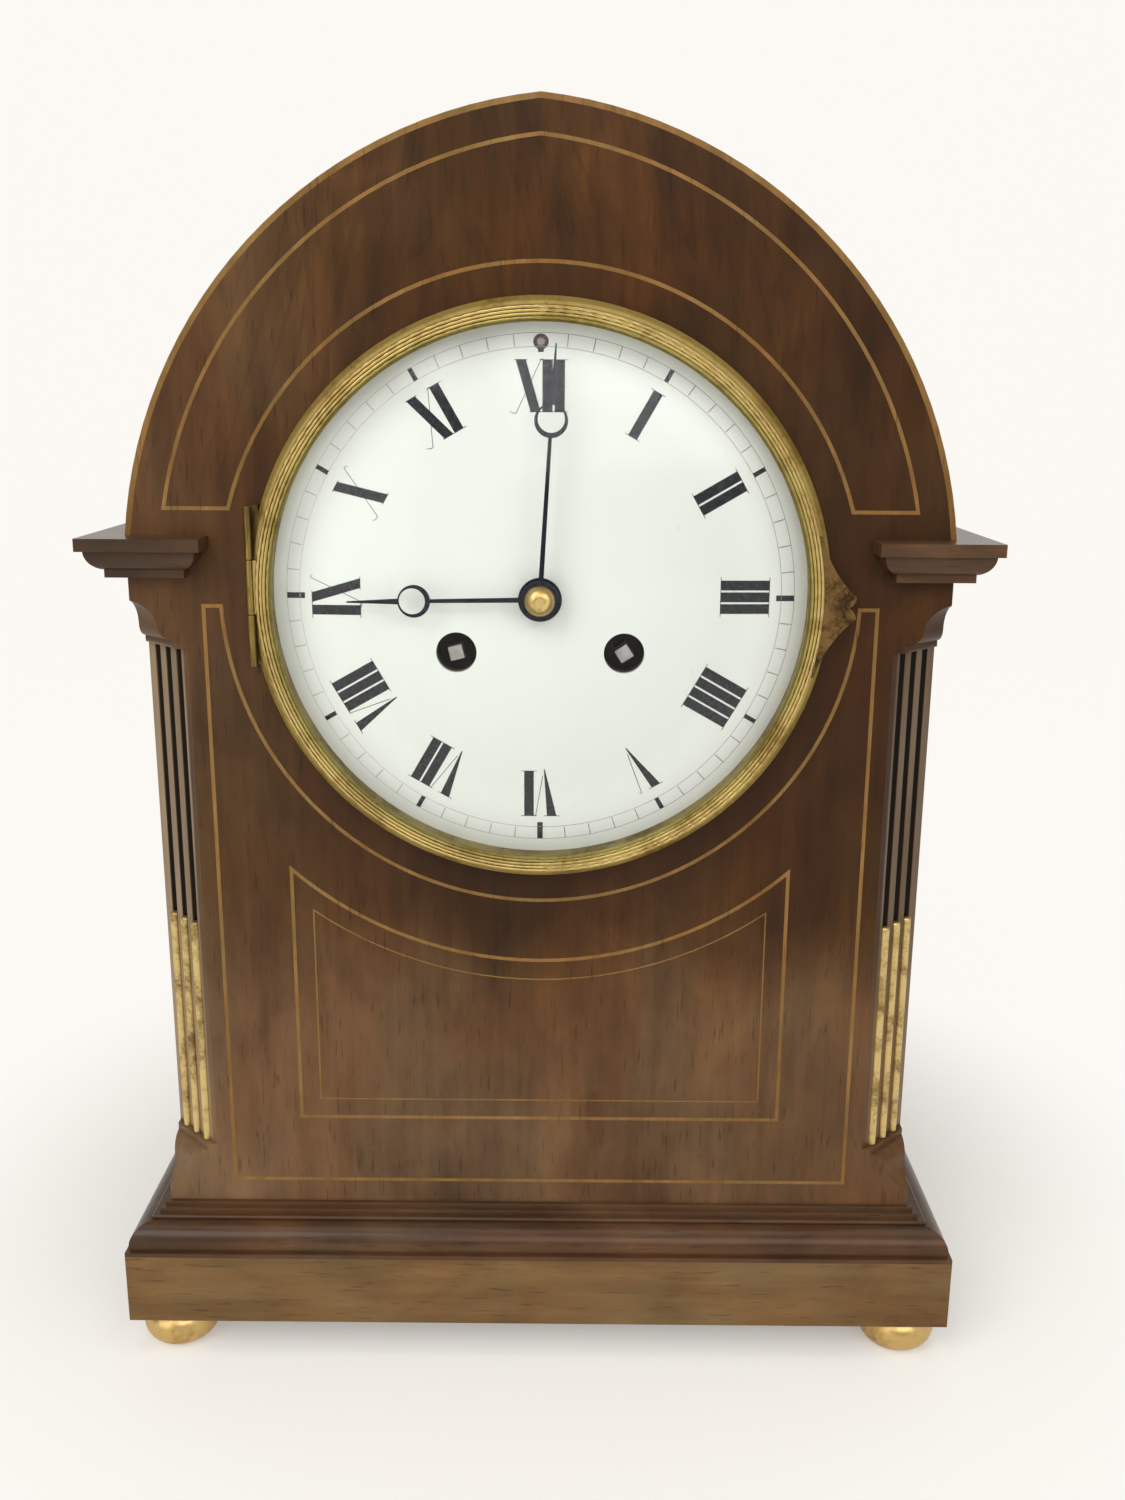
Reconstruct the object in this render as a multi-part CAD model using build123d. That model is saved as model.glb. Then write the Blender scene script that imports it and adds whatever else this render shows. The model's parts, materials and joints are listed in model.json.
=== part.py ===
from build123d import *
import os
from math import atan2, cos, degrees, hypot, pi, radians, sin, sqrt
from typing import NamedTuple

# Lancet-top mantel clock: inlaid case, hinged bezel, two-train movement with pendulum and gong.
# Millimetres. X to the right, Y to the back, Z up. Drawn with the panel face at y = 0 and the
# feet on z = 0, then put out with the middle of the whole clock over the origin.

# Fits and clearances
RUN = 0.05  # radial play of a pivot or pin in its hole
SEAT = 0.1  # play of a piece let into a recess
SWING = 0.3  # room between a moving piece and what it passes

# Case carcass
CLOCK_H = 332.1
SPRING_SHARE = 0.69  # level of the springing, as a share of the height
BODY_W = 208.0
BODY_D = 140.0
WALL = 10.0
PANEL_T = 12.0
BACK_T = 9.0
ARCH_R = 116.4
POST_W = 16.0
POST_D = 18.0

# Plinth and feet
FOOT_H = 11.0
FOOT_R = 10.6
FOOT_SOLE_R = 6.5
FOOT_NECK_R = 7.0
FOOT_INSET = 11.6
PLINTH_H = 20.0
PLINTH_PROUD = 10.7
MOULD_H = 11.8
OVOLO_H = 8.0
OVOLO_IN = 6.2
BEAD_R = 0.6
MOULD_EDGE = 1.2
MOULD_LIP = 1.2

# Imposts
IMPOST_H = 10.1
IMPOST_PROUD = 9.8
IMPOST_FASCIA = 3.2
IMPOST_FILLET = 2.1
IMPOST_FOOT = 4.4
IMPOST_QUIRK = 0.4
IMPOST_STEP = 1.6
IMPOST_INNER_X = 83.2

# Canted corners
CANT = 14.0
STOP_TOP_DROP = 16.4
STOP_H = 10.6
STOP_WAIST_IN = 0.57  # where the hollow meets the swell, as shares of the stop
STOP_WAIST_DOWN = 0.64
NECK_H = 1.8
NECK_STEP = 1.8
STOP_FOOT_RISE = 4.9
FLUTE_R = 1.35
FLUTE_PITCH = 5.3
FLUTE_END = 0.2
STOP_ROD_H = 64.8

# Inlay
STRING_W = 0.95
FINE_W = 0.36
STRING_D = 0.8
BAND_W = 1.4
ARCH_LINE_INSET = 8.5
ARCH_LINE_RISE = 6.3
RING_LINE_R = 80.4
WAIST_LINE_HALF = 85.8
WAIST_LINE_RISE = 6.2
WAIST_LINE_DROP = 17.2
TABLET_HALF = 66.4
TABLET_RISE = 25.6
TABLET_R = 97.6
FINE_INSET = 5.8

# Bezel and dial
DIAL_DROP = 15.2
RING_R = 73.0
RING_T = 2.0
RING_SIGHT_R = 68.0
SLEEVE_R = 70.5
SLEEVE_T = 1.2
SLEEVE_L = 9.0
BEZEL_R = 72.0
BEZEL_SIGHT_R = 66.8
BEZEL_LIP = 0.5
BEZEL_EDGE = 1.3
BEZEL_FLAT = 1.4
REED_N = 4
REED_W = 0.85
REED_H = 0.45
BEZEL_H = 4.6
GLASS_R = 67.9
GLASS_T = 1.8
GLASS_DOME = 9.0
GLASS_SEAT = 2.6
HINGE_R = 1.0
HINGE_IN = 2.0
PIN_R = 0.45
HINGE_H = 40.0
HINGE_RISE = 3.0
HINGE_MID = 13.4
HINGE_STAND = BEZEL_EDGE + HINGE_R + 2 * SWING
TAB_REACH = 7.0
TAB_HALF = 18.0
TAB_ROOT = 0.3
TAB_DROP = 1.3
TAB_LOBE = 2.7
TAB_NOTCH = 1.8
TAB_T = 1.3
DIAL_T = 1.6
DIAL_DOME = 2.0
DIAL_RIM_Y = 3.5
DIAL_PLATE_T = 1.5
WIND_X = 21.5
WIND_DROP = 14.3
WIND_HOLE_R = 5.2
REGULATOR_RISE = 62.5
REGULATOR_HOLE_R = 1.9
REGULATOR_R = 0.9

# Hands
HAND_T = 0.7
HOUR_LEN = 48.6
HOUR_MOON = 31.7
HOUR_BOSS_R = 5.5
HOUR_FRONT_Y = -3.0
MINUTE_LEN = 62.0
MINUTE_MOON = 43.9
MINUTE_BOSS_R = 4.9
MINUTE_FRONT_Y = -5.6
MINUTE_TIP_BEND = 2.0
MOON_R = 4.1
MOON_HOLE_R = 3.3
MOON_SHIFT = 0.45
HAND_W = 1.3
MINUTE_REST = 86.5
HOUR_REST = 181.0
COLLET_R = 3.9
COLLET_H = 2.2
ARBOR_TIP = 0.9

# Movement frame
MOTION_GAP = 9.4
PLATE_R = 48.0
PLATE_T = 2.0
PLATE_GAP = 36.0
PILLAR_R = 2.8
PIVOT_R = 0.6
ARBOR_R = 1.0
SLIM_R = 0.7
CENTRE_R = 1.2
CANNON_R = 2.0
HOUR_PIPE_R = 2.9
SHAKE = 0.2
FOOT_POST_R = 2.2
FOOT_POST_R_AT = 44.0
STRAP_W = 10.0
STRAP_T = 1.5
DRUM_R = 18.3
DRUM_L = 20.0
DRUM_WALL = 1.2
WINDER_R = 3.0
WINDER_PIVOT_R = 1.5
SQUARE = 3.6
GOING_SQUARE_TURN = 33.0
STRIKE_SQUARE_TURN = 14.0
SQUARE_TIP_Y = 1.5
RATCHET_TEETH = 24
RATCHET_R = 8.4
RATCHET_ROOT = 1.4
RATCHET_T = 2.5
CLICK_DROP = 14.0
CLICK_R = 2.2
PALLET_RISE = 12.2
COUNT_R = 14.0
COUNT_NOTCH_D = 2.0
COUNT_NOTCH_W = 0.8
FLY_HALF = 5.5
FLY_L = 12.0

# Wheels
GREAT_PLANE = 9.5
SECOND_PLANE = 33.2
CENTRE_PLANE = 6.0
THIRD_PLANE = 19.0
ESCAPE_PLANE = 28.0
PIN_PLANE = 16.0
WARNING_PLANE = 22.0
HOUR_PLANE = 1.4
MINUTE_PLANE = 5.4
GREAT_T = 2.0
WHEEL_T = 1.2
LEAF_OVER = 0.6
TIP_SHARE = 0.85  # tooth height above the pitch circle, in modules
ROOT_SHARE = 1.25  # tooth depth below it
RIM = 1.3
SPOKE_W = 1.8
SPOKES = 4
HUB_R = 2.6
PILLAR_X = 36.4
PILLAR_RISE = 21.0
PILLAR_LOW_X = 14.7
PILLAR_DROP = 40.4
FOOT_POST_TILT = 20.0

# Pendulum
COCK_GAP = 6.0
COCK_T = 2.0
COCK_HALF = 12.0
PENDULUM_STAND = 6.0
PENDULUM_LEN = 138.0
ROD_R = 1.2
BOB_R = 17.0
BOB_T = 9.0
NUT_R = 4.0
NUT_H = 3.0
CHOP_HALF = 2.5
CHOP_W = 7.0
CHOP_H = 6.0
SPRING_H = 10.0
SPRING_T = 0.25
CRUTCH_L = 38.0
CRUTCH_W = 2.4
CRUTCH_T = 1.5
PRONG = 1.2
STUD_R = 1.4
STUD_PLAY = 0.7

# Strike
GONG_RISE = 56.0
GONG_Y = 26.0
GONG_WIRE_R = 1.5
GONG_PITCH = 6.0
GONG_HALF_TURNS = 10
GONG_BOSS_R = 6.0
GONG_POST_W = 10.0
GONG_FOOT_H = 6.0
GONG_FOOT_W = 40.0
HAMMER_AT = (-38.0, 5.0)
HAMMER_PLANE = 3.5
HAMMER_ROD_R = 1.1
HAMMER_HEAD_R = 4.5
HAMMER_HEAD_L = 10.0
HAMMER_REST = 2.0

# Rear door
REAR_R = 58.0
REAR_FLANGE = 5.0
REAR_FRAME_T = 1.6
REAR_DOOR_T = 1.0
REAR_DOOR_RIM = 1.5
KNOB_R = 3.5
KNOB_H = 7.0


class Gear(NamedTuple):
    """A toothed wheel or pinion: teeth, module, front face and thickness along y."""

    teeth: int
    module: float
    front: float
    thick: float

    @property
    def pitch_r(self):
        return self.teeth * self.module / 2


def leaves(count, gear):
    """The pinion that runs in a wheel, a little longer than the wheel is thick."""
    return Gear(count, gear.module, gear.front - LEAF_OVER, gear.thick + 2 * LEAF_OVER)


# Levels and depths that follow from the sizes above
half = BODY_W / 2
mould_z = FOOT_H + PLINTH_H
floor_z = mould_z + MOULD_H
spring_z = CLOCK_H * SPRING_SHARE
arch_rise = CLOCK_H - spring_z
dial_z = spring_z - DIAL_DROP
panel_half = half - POST_W
dial_back_y = DIAL_RIM_Y + DIAL_T + DIAL_PLATE_T
front_plate_y = dial_back_y + MOTION_GAP
inside_y = front_plate_y + PLATE_T
back_plate_y = inside_y + PLATE_GAP
outside_y = back_plate_y + PLATE_T
cock_y = outside_y + COCK_GAP
pendulum_y = cock_y + COCK_T + PENDULUM_STAND
glass_front_y = -RING_T - GLASS_SEAT - GLASS_DOME
knob_end_y = BODY_D + REAR_FRAME_T + SWING + REAR_DOOR_T + KNOB_H
middle_y = (glass_front_y + knob_end_y) / 2

# Arch: each side is one arc from the springing to the apex, struck from across the middle
half_chord = hypot(half, arch_rise) / 2
centre_off = sqrt(ARCH_R**2 - half_chord**2)
arch_cx = half / 2 - centre_off * arch_rise / (2 * half_chord)
arch_cz = spring_z + arch_rise / 2 - centre_off * half / (2 * half_chord)

# Trains: teeth and module of each wheel, and its plane between the plates
GREAT = Gear(80, 0.5, inside_y + GREAT_PLANE, GREAT_T)
SECOND = Gear(72, 0.4, inside_y + SECOND_PLANE, WHEEL_T)
CENTRE = Gear(84, 0.34, inside_y + CENTRE_PLANE, WHEEL_T)
THIRD = Gear(80, 0.34, inside_y + THIRD_PLANE, WHEEL_T)
ESCAPE = Gear(40, 0.45, inside_y + ESCAPE_PLANE, WHEEL_T)
STRIKE_SECOND = Gear(64, 0.4, inside_y + SECOND_PLANE, WHEEL_T)
PIN = Gear(48, 0.34, inside_y + PIN_PLANE, WHEEL_T)
WARNING = Gear(48, 0.32, inside_y + WARNING_PLANE, WHEEL_T)
HOUR = Gear(56, 0.32, dial_back_y + HOUR_PLANE, WHEEL_T)
MINUTE = Gear(48, 0.35, dial_back_y + MINUTE_PLANE, WHEEL_T)
SECOND_PINION = leaves(10, GREAT)
CENTRE_PINION = leaves(10, SECOND)
THIRD_PINION = leaves(7, CENTRE)
ESCAPE_PINION = leaves(8, THIRD)
PIN_PINION = leaves(8, STRIKE_SECOND)
WARNING_PINION = leaves(8, PIN)
FLY_PINION = leaves(7, WARNING)
CANNON = leaves(16, MINUTE)
MINUTE_PINION = Gear(14, HOUR.module, HOUR.front - LEAF_OVER, MINUTE.front - HOUR.front + LEAF_OVER)


def mesh_distance(one, other):
    return one.pitch_r + other.pitch_r


def polar(start, distance, angle):
    return (start[0] + distance * cos(radians(angle)), start[1] + distance * sin(radians(angle)))


def bearing(start, end):
    return degrees(atan2(end[1] - start[1], end[0] - start[0]))


def meeting(one, one_r, other, other_r):
    """The point at the given distances from two others, on the left of the line between them."""
    span = hypot(other[0] - one[0], other[1] - one[1])
    along = (one_r**2 - other_r**2 + span**2) / (2 * span)
    across = degrees(atan2(sqrt(one_r**2 - along**2), along))
    return polar(one, one_r, bearing(one, other) + across)


# Arbor places, across and up from the dial's centre
CENTRE_AT = (0.0, 0.0)
GOING_AT = (WIND_X, -WIND_DROP)
STRIKE_AT = (-WIND_X, -WIND_DROP)
SECOND_AT = meeting(
    CENTRE_AT, mesh_distance(SECOND, CENTRE_PINION), GOING_AT, mesh_distance(GREAT, SECOND_PINION)
)
THIRD_AT = polar(CENTRE_AT, mesh_distance(CENTRE, THIRD_PINION), 95.0)
ESCAPE_AT = (0.0, THIRD_AT[1] + sqrt(mesh_distance(THIRD, ESCAPE_PINION) ** 2 - THIRD_AT[0] ** 2))
PALLET_AT = (0.0, ESCAPE_AT[1] + PALLET_RISE)
STRIKE_SECOND_AT = polar(STRIKE_AT, mesh_distance(GREAT, SECOND_PINION), 88.0)
PIN_AT = polar(STRIKE_SECOND_AT, mesh_distance(STRIKE_SECOND, PIN_PINION), 100.0)
WARNING_AT = polar(PIN_AT, mesh_distance(PIN, WARNING_PINION), 20.0)
FLY_AT = polar(WARNING_AT, mesh_distance(WARNING, FLY_PINION), 93.0)
MINUTE_AT = polar(CENTRE_AT, mesh_distance(CANNON, MINUTE), -90.0)
REGULATOR_AT = (0.0, REGULATOR_RISE)
PILLARS_AT = [(side * PILLAR_X, PILLAR_RISE) for side in (-1, 1)]
PILLARS_AT += [(side * PILLAR_LOW_X, -PILLAR_DROP) for side in (-1, 1)]
FEET_ANGLES = [turn + side * FOOT_POST_TILT for turn in (0, 180) for side in (-1, 1)]
DIAL_FEET_AT = [polar(CENTRE_AT, FOOT_POST_R_AT, angle) for angle in FEET_ANGLES]

parts = {}


def block(x0, x1, y0, y1, z0, z1):
    return Pos((x0 + x1) / 2, (y0 + y1) / 2, (z0 + z1) / 2) * Box(x1 - x0, y1 - y0, z1 - z0)


def slab(face, y0, y1):
    """A face drawn in x and z, made solid from y0 back to y1."""
    return extrude(Plane.XZ.offset(-y0) * face, amount=y0 - y1)


def area(x0, x1, z0, z1):
    return Pos((x0 + x1) / 2, (z0 + z1) / 2) * Rectangle(x1 - x0, z1 - z0)


def round_area(radius, at=CENTRE_AT):
    """A disc drawn in x and z about a point given from the dial's centre."""
    return Pos(at[0], dial_z + at[1]) * Circle(radius)


def rod(at, radius, y0, y1):
    """A cylinder along y about a point given from the dial's centre."""
    return Pos(at[0], (y0 + y1) / 2, dial_z + at[1]) * Rot(X=90) * Cylinder(radius, y1 - y0)


def upright(x, y, radius, z0, z1):
    return Pos(x, y, (z0 + z1) / 2) * Cylinder(radius, z1 - z0)


def turned(lines):
    """A section drawn in radius and y, turned about the dial's axis."""
    return Pos(0, 0, dial_z) * revolve(make_face(lines), Axis.Y)


def cap_y(radius, rim_r, dome):
    """How far a round cap of the given rim and rise has fallen away at a radius."""
    ball = (rim_r**2 + dome**2) / (2 * dome)
    return ball - sqrt(ball**2 - radius**2)


def mirrored(shape):
    return mirror(shape, Plane.YZ)


def lancet(inset, bottom):
    """The pointed-arch outline, inset all round, on straight sides down to the bottom."""
    radius = ARCH_R - inset
    side = arch_cx + sqrt(radius**2 - (spring_z - arch_cz) ** 2)
    top = arch_cz + sqrt(radius**2 - arch_cx**2)
    low_angle = atan2(spring_z - arch_cz, side - arch_cx)
    high_angle = atan2(top - arch_cz, -arch_cx)
    middle = (low_angle + high_angle) / 2
    mid_x = arch_cx + radius * cos(middle)
    mid_z = arch_cz + radius * sin(middle)
    right = ThreePointArc((side, spring_z), (mid_x, mid_z), (0, top))
    left = ThreePointArc((0, top), (-mid_x, mid_z), (-side, spring_z))
    feet = Polyline((-side, spring_z), (-side, bottom), (side, bottom), (side, spring_z))
    return make_face([right, left, feet])


def arch_only(inset):
    above = area(-BODY_W, BODY_W, spring_z, spring_z + 2 * arch_rise)
    return lancet(inset, floor_z) & above


def outline(region, width):
    """The border of a region, as wide as the string that is let into it."""
    return region - offset(region, -width, kind=Kind.INTERSECTION)


# Inlay regions on the panel face
def arch_line_region():
    above = area(-BODY_W, BODY_W, spring_z + ARCH_LINE_RISE, spring_z + 2 * arch_rise)
    return (lancet(ARCH_LINE_INSET, floor_z) & above) - round_area(RING_LINE_R)


def waist_line_region():
    top = spring_z - WAIST_LINE_DROP
    return area(-WAIST_LINE_HALF, WAIST_LINE_HALF, floor_z + WAIST_LINE_RISE, top) - round_area(RING_LINE_R)


def tablet_region(inset):
    wide = TABLET_HALF - inset
    return area(-wide, wide, floor_z + TABLET_RISE + inset, dial_z) - round_area(TABLET_R + inset)


def lower_part(region):
    """The tablet under the dial, without the corners left above the ring."""
    return sorted(region.faces(), key=lambda face: face.center().Y)[0]


def stringing():
    lines = [
        outline(arch_line_region(), STRING_W),
        outline(waist_line_region(), STRING_W),
        outline(lower_part(tablet_region(0)), STRING_W),
        outline(lower_part(tablet_region(FINE_INSET)), FINE_W),
    ]
    strings = [slab(line, 0, STRING_D) for line in lines]
    band = slab(arch_only(0) - lancet(BAND_W, floor_z), 0, BAND_W)
    return strings + [band]


def front_panel(strings):
    board = arch_only(0) + area(-panel_half, panel_half, floor_z, spring_z)
    solid = slab(board - round_area(SLEEVE_R + SEAT), 0, PANEL_T)
    for string in strings:
        solid -= string
    return solid


# Canted corner: the profile runs inward from the right front edge, along the diagonal
def cant_plane():
    return Plane(origin=(half, 0, 0), x_dir=(-1, 1, 0), z_dir=(1, 1, 0))


def stop_curve(edge_z, neck, way):
    """A hollow from the corner's edge to the waist, then a swell to the neck, going up or down."""
    waist = (neck * STOP_WAIST_IN, edge_z + way * STOP_H * STOP_WAIST_DOWN)
    hollow = TangentArc(waist, (0, edge_z), tangent=(0, -way))
    swell = TangentArc(waist, (neck, edge_z + way * STOP_H), tangent=(0, way))
    return [hollow, swell]


def cant_cut():
    deep = CANT / sqrt(2)
    neck = deep - NECK_STEP
    top = spring_z - STOP_TOP_DROP
    foot = floor_z + STOP_FOOT_RISE
    outer = -CANT
    flat_top = top - STOP_H - NECK_H
    flat_foot = foot + STOP_H + NECK_H
    straight = Polyline(
        (neck, top - STOP_H), (neck, flat_top), (deep, flat_top),
        (deep, flat_foot), (neck, flat_foot), (neck, foot + STOP_H),
    )
    away = Polyline((0, top), (outer, top), (outer, foot), (0, foot))
    face = make_face([*stop_curve(top, neck, -1), straight, *stop_curve(foot, neck, 1), away])
    flutes = []
    for index in (-1, 0, 1):
        across = index * FLUTE_PITCH
        place = cant_plane() * Pos(deep, 0, across)
        flutes.append((place.position.X, place.position.Y, flat_foot + FLUTE_END, flat_top - FLUTE_END))
    solid = extrude(cant_plane() * face, amount=CANT, both=True)
    return solid, flutes


def corner_post():
    cut, flutes = cant_cut()
    post = block(panel_half, half, 0, POST_D, floor_z, spring_z) - cut
    for x, y, low, high in flutes:
        post -= upright(x, y, FLUTE_R, low, high)
    return post


def stop_rods():
    rods = []
    for x, y, low, high in cant_cut()[1]:
        stick = upright(x, y, FLUTE_R - RUN, low, low + STOP_ROD_H)
        stick = fillet(stick.edges().group_by(Axis.Z)[-1], FLUTE_R / 2)
        rods += [stick, mirrored(stick)]
    return rods


# Mouldings: one section gives the front and the sides, and their overlap is mitred
def impost_section():
    low = spring_z - IMPOST_H
    band_top = low + IMPOST_FILLET
    fascia_low = spring_z - IMPOST_FASCIA
    ovolo_in = IMPOST_FOOT + IMPOST_QUIRK
    reach = IMPOST_PROUD - IMPOST_STEP
    ovolo = TangentArc((reach, fascia_low), (ovolo_in, band_top), tangent=(0, -1))
    top = Polyline((reach, fascia_low), (IMPOST_PROUD, fascia_low), (IMPOST_PROUD, spring_z), (0, spring_z))
    foot = Polyline(
        (0, spring_z), (0, low), (IMPOST_FOOT, low), (IMPOST_FOOT, band_top), (ovolo_in, band_top)
    )
    return make_face([ovolo, top, foot])


def impost():
    section = impost_section()
    low = spring_z - IMPOST_H
    inner = IMPOST_INNER_X + IMPOST_PROUD
    front = Pos(half, 0) * section + Pos(inner, 0) * mirrored(section) + area(inner, half, low, spring_z)
    side = mirrored(section) + area(0, BODY_D, low, spring_z)
    along_y = slab(front, -IMPOST_PROUD, BODY_D)
    along_x = extrude(Plane.YZ * side, amount=half + 2 * IMPOST_PROUD)
    body = block(0, half, 0, BODY_D, low, spring_z)
    return (along_y & along_x) - body


def base_section():
    """Two small fillets over a bead, a broad quarter round and a plain edge."""
    bead_z = mould_z + OVOLO_H
    bead_out = PLINTH_PROUD - OVOLO_IN
    bead_in = bead_out - BEAD_R
    lip_z = bead_z + 2 * BEAD_R
    step_z = (lip_z + floor_z) / 2
    step = (MOULD_LIP + bead_in) / 2
    edge_z = mould_z + MOULD_EDGE
    ovolo = TangentArc((bead_out, bead_z), (PLINTH_PROUD - MOULD_EDGE, edge_z), tangent=(1, 0))
    edge = Polyline(ovolo @ 1, (PLINTH_PROUD, edge_z), (PLINTH_PROUD, mould_z), (0, mould_z))
    back = Polyline((0, mould_z), (0, floor_z), (MOULD_LIP, floor_z), (MOULD_LIP, step_z))
    ledge = Polyline((MOULD_LIP, step_z), (step, step_z), (step, lip_z), (bead_in, lip_z))
    bead = ThreePointArc(ledge @ 1, (bead_out, bead_z + BEAD_R), (bead_in, bead_z))
    seat = Line(bead @ 1, ovolo @ 0)
    return make_face([ovolo, edge, back, ledge, bead, seat])


def base_moulding():
    section = base_section()
    front = Pos(half, 0) * section + Pos(-half, 0) * mirrored(section) + area(-half, half, mould_z, floor_z)
    side = mirrored(section) + area(0, BODY_D, mould_z, floor_z)
    along_y = slab(front, -PLINTH_PROUD, BODY_D)
    along_x = extrude(Plane.YZ * side, amount=half + 2 * PLINTH_PROUD, both=True)
    return along_y & along_x


def bun_foot():
    waist = FOOT_H * 0.5
    lower = ThreePointArc((FOOT_SOLE_R, 0), (FOOT_R * 0.92, waist * 0.42), (FOOT_R, waist))
    shoulder = waist + (FOOT_H - waist) * 0.55
    upper = ThreePointArc((FOOT_R, waist), (FOOT_R * 0.92, shoulder), (FOOT_NECK_R, FOOT_H))
    axis = Polyline((FOOT_NECK_R, FOOT_H), (0, FOOT_H), (0, 0), (FOOT_SOLE_R, 0))
    return revolve(Plane.XZ * make_face([lower, upper, axis]), Axis.Z)


def feet():
    out_x = half + PLINTH_PROUD - FOOT_INSET
    front_y = FOOT_INSET - PLINTH_PROUD
    back_y = BODY_D - FOOT_INSET
    return [Pos(x, y, 0) * bun_foot() for x in (-out_x, out_x) for y in (front_y, back_y)]


def case_parts():
    strings = stringing()
    parts["front_panel"] = front_panel(strings)
    parts["boxwood_stringing"] = Compound(children=strings)
    post = corner_post()
    parts["corner_post_right"] = post
    parts["corner_post_left"] = mirrored(post)
    parts["stop_flutes"] = Compound(children=stop_rods())
    side = block(half - WALL, half, POST_D, BODY_D, floor_z, spring_z)
    parts["side_panel_right"] = side
    parts["side_panel_left"] = mirrored(side)
    parts["arch_roof"] = slab(arch_only(0) - lancet(WALL, floor_z), PANEL_T, BODY_D)
    back = lancet(WALL + SEAT, floor_z) - round_area(REAR_R)
    parts["back_panel"] = slab(back, BODY_D - BACK_T, BODY_D)
    parts["impost_right"] = impost()
    parts["impost_left"] = mirrored(parts["impost_right"])
    parts["base_moulding"] = base_moulding()
    reach = half + PLINTH_PROUD
    plinth = block(-reach, reach, -PLINTH_PROUD, BODY_D, FOOT_H, mould_z)
    parts["plinth_block"] = plinth
    parts["bun_feet"] = Compound(children=feet())


# Hinges: three knuckles on an upright pin beside a round frame
def hinge_spans(middle_z):
    """Heights of the two outer knuckles, and of the middle one."""
    end = HINGE_H / 2
    inner = HINGE_MID / 2
    outer = [(middle_z + inner + SWING, middle_z + end), (middle_z - end, middle_z - inner - SWING)]
    return outer, (middle_z - inner, middle_z + inner)


def hinge_pin(x, y, middle_z):
    return upright(x, y, PIN_R, middle_z - HINGE_H / 2, middle_z + HINGE_H / 2)


dial_edge_r = SLEEVE_R - SLEEVE_T - SEAT
bezel_back_y = -RING_T - SWING
bezel_hinge_x = -RING_R - HINGE_R + HINGE_IN
bezel_hinge_y = -RING_T - HINGE_STAND
bezel_hinge_z = dial_z + HINGE_RISE
rear_hinge_x = REAR_R + REAR_FLANGE + HINGE_R + SWING
rear_hinge_y = BODY_D + REAR_FRAME_T + HINGE_STAND


def dial_dome_y(radius):
    return DIAL_RIM_Y - DIAL_DOME + cap_y(radius, dial_edge_r, DIAL_DOME)


def dial_ring():
    inner = SLEEVE_R - SLEEVE_T
    stop_y = dial_dome_y(RING_SIGHT_R) - RUN
    ring = turned(
        Polyline(
            (RING_SIGHT_R, -RING_T), (RING_R, -RING_T), (RING_R, 0), (SLEEVE_R, 0), (SLEEVE_R, SLEEVE_L),
            (inner, SLEEVE_L), (inner, stop_y), (RING_SIGHT_R, stop_y), close=True,
        )
    )
    top = bezel_hinge_z + HINGE_H / 2
    leaf = block(bezel_hinge_x - HINGE_R, bezel_hinge_x + 2 * HINGE_R, -RING_T, 0, top - HINGE_H, top)
    ring += leaf - rod(CENTRE_AT, RING_SIGHT_R + SWING, -RING_T, 0)
    pin = upright(bezel_hinge_x, bezel_hinge_y, PIN_R + RUN, top - HINGE_H, top)
    for low, high in hinge_spans(bezel_hinge_z)[0]:
        web = block(bezel_hinge_x - HINGE_R, bezel_hinge_x - SWING, bezel_hinge_y, -RING_T, low, high)
        ring += upright(bezel_hinge_x, bezel_hinge_y, HINGE_R, low, high) + web
    return ring - pin


def glass_dome_y(radius, front):
    return front + cap_y(radius, GLASS_R, GLASS_DOME)


def bezel_ring():
    """Plain flat outside, then round reeds up to the lip that holds the glass."""
    step_y = bezel_back_y - BEZEL_EDGE
    crest = bezel_back_y - BEZEL_H
    reed_y = crest + REED_H
    lip_back = glass_dome_y(BEZEL_SIGHT_R, glass_front_y) - SEAT
    bore = GLASS_R + SWING
    start_r = BEZEL_R - BEZEL_FLAT
    reeds = []
    for reed in range(REED_N):
        outer = start_r - reed * REED_W
        reeds.append(ThreePointArc((outer, reed_y), (outer - REED_W / 2, crest), (outer - REED_W, reed_y)))
    flat = Polyline(
        (bore, bezel_back_y), (BEZEL_R, bezel_back_y), (BEZEL_R, step_y), (start_r, step_y), (start_r, reed_y)
    )
    lip_y = reed_y + BEZEL_LIP
    lip = Polyline(
        reeds[-1] @ 1, (BEZEL_SIGHT_R, lip_y), (BEZEL_SIGHT_R, lip_back), (bore, lip_back), (bore, bezel_back_y)
    )
    ring = turned([flat, *reeds, lip])
    low, high = hinge_spans(bezel_hinge_z)[1]
    thick = HINGE_R / 2
    web = block(bezel_hinge_x, HINGE_R - start_r, bezel_hinge_y - thick, bezel_hinge_y + thick, low, high)
    ring += web - rod(CENTRE_AT, GLASS_R + 1, -BODY_D, BODY_D)
    ring += upright(bezel_hinge_x, bezel_hinge_y, HINGE_R, low, high)
    return ring - upright(bezel_hinge_x, bezel_hinge_y, PIN_R + RUN, low, high)


def bezel_glass():
    middle_r = GLASS_R / 2
    back = glass_front_y + GLASS_T
    rim = -RING_T - GLASS_SEAT
    front = ThreePointArc((0, glass_front_y), (middle_r, glass_dome_y(middle_r, glass_front_y)), (GLASS_R, rim))
    hollow = ThreePointArc((GLASS_R, rim + GLASS_T), (middle_r, glass_dome_y(middle_r, back)), (0, back))
    return turned([front, Line(front @ 1, hollow @ 0), hollow, Line(hollow @ 1, front @ 0)])


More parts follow.
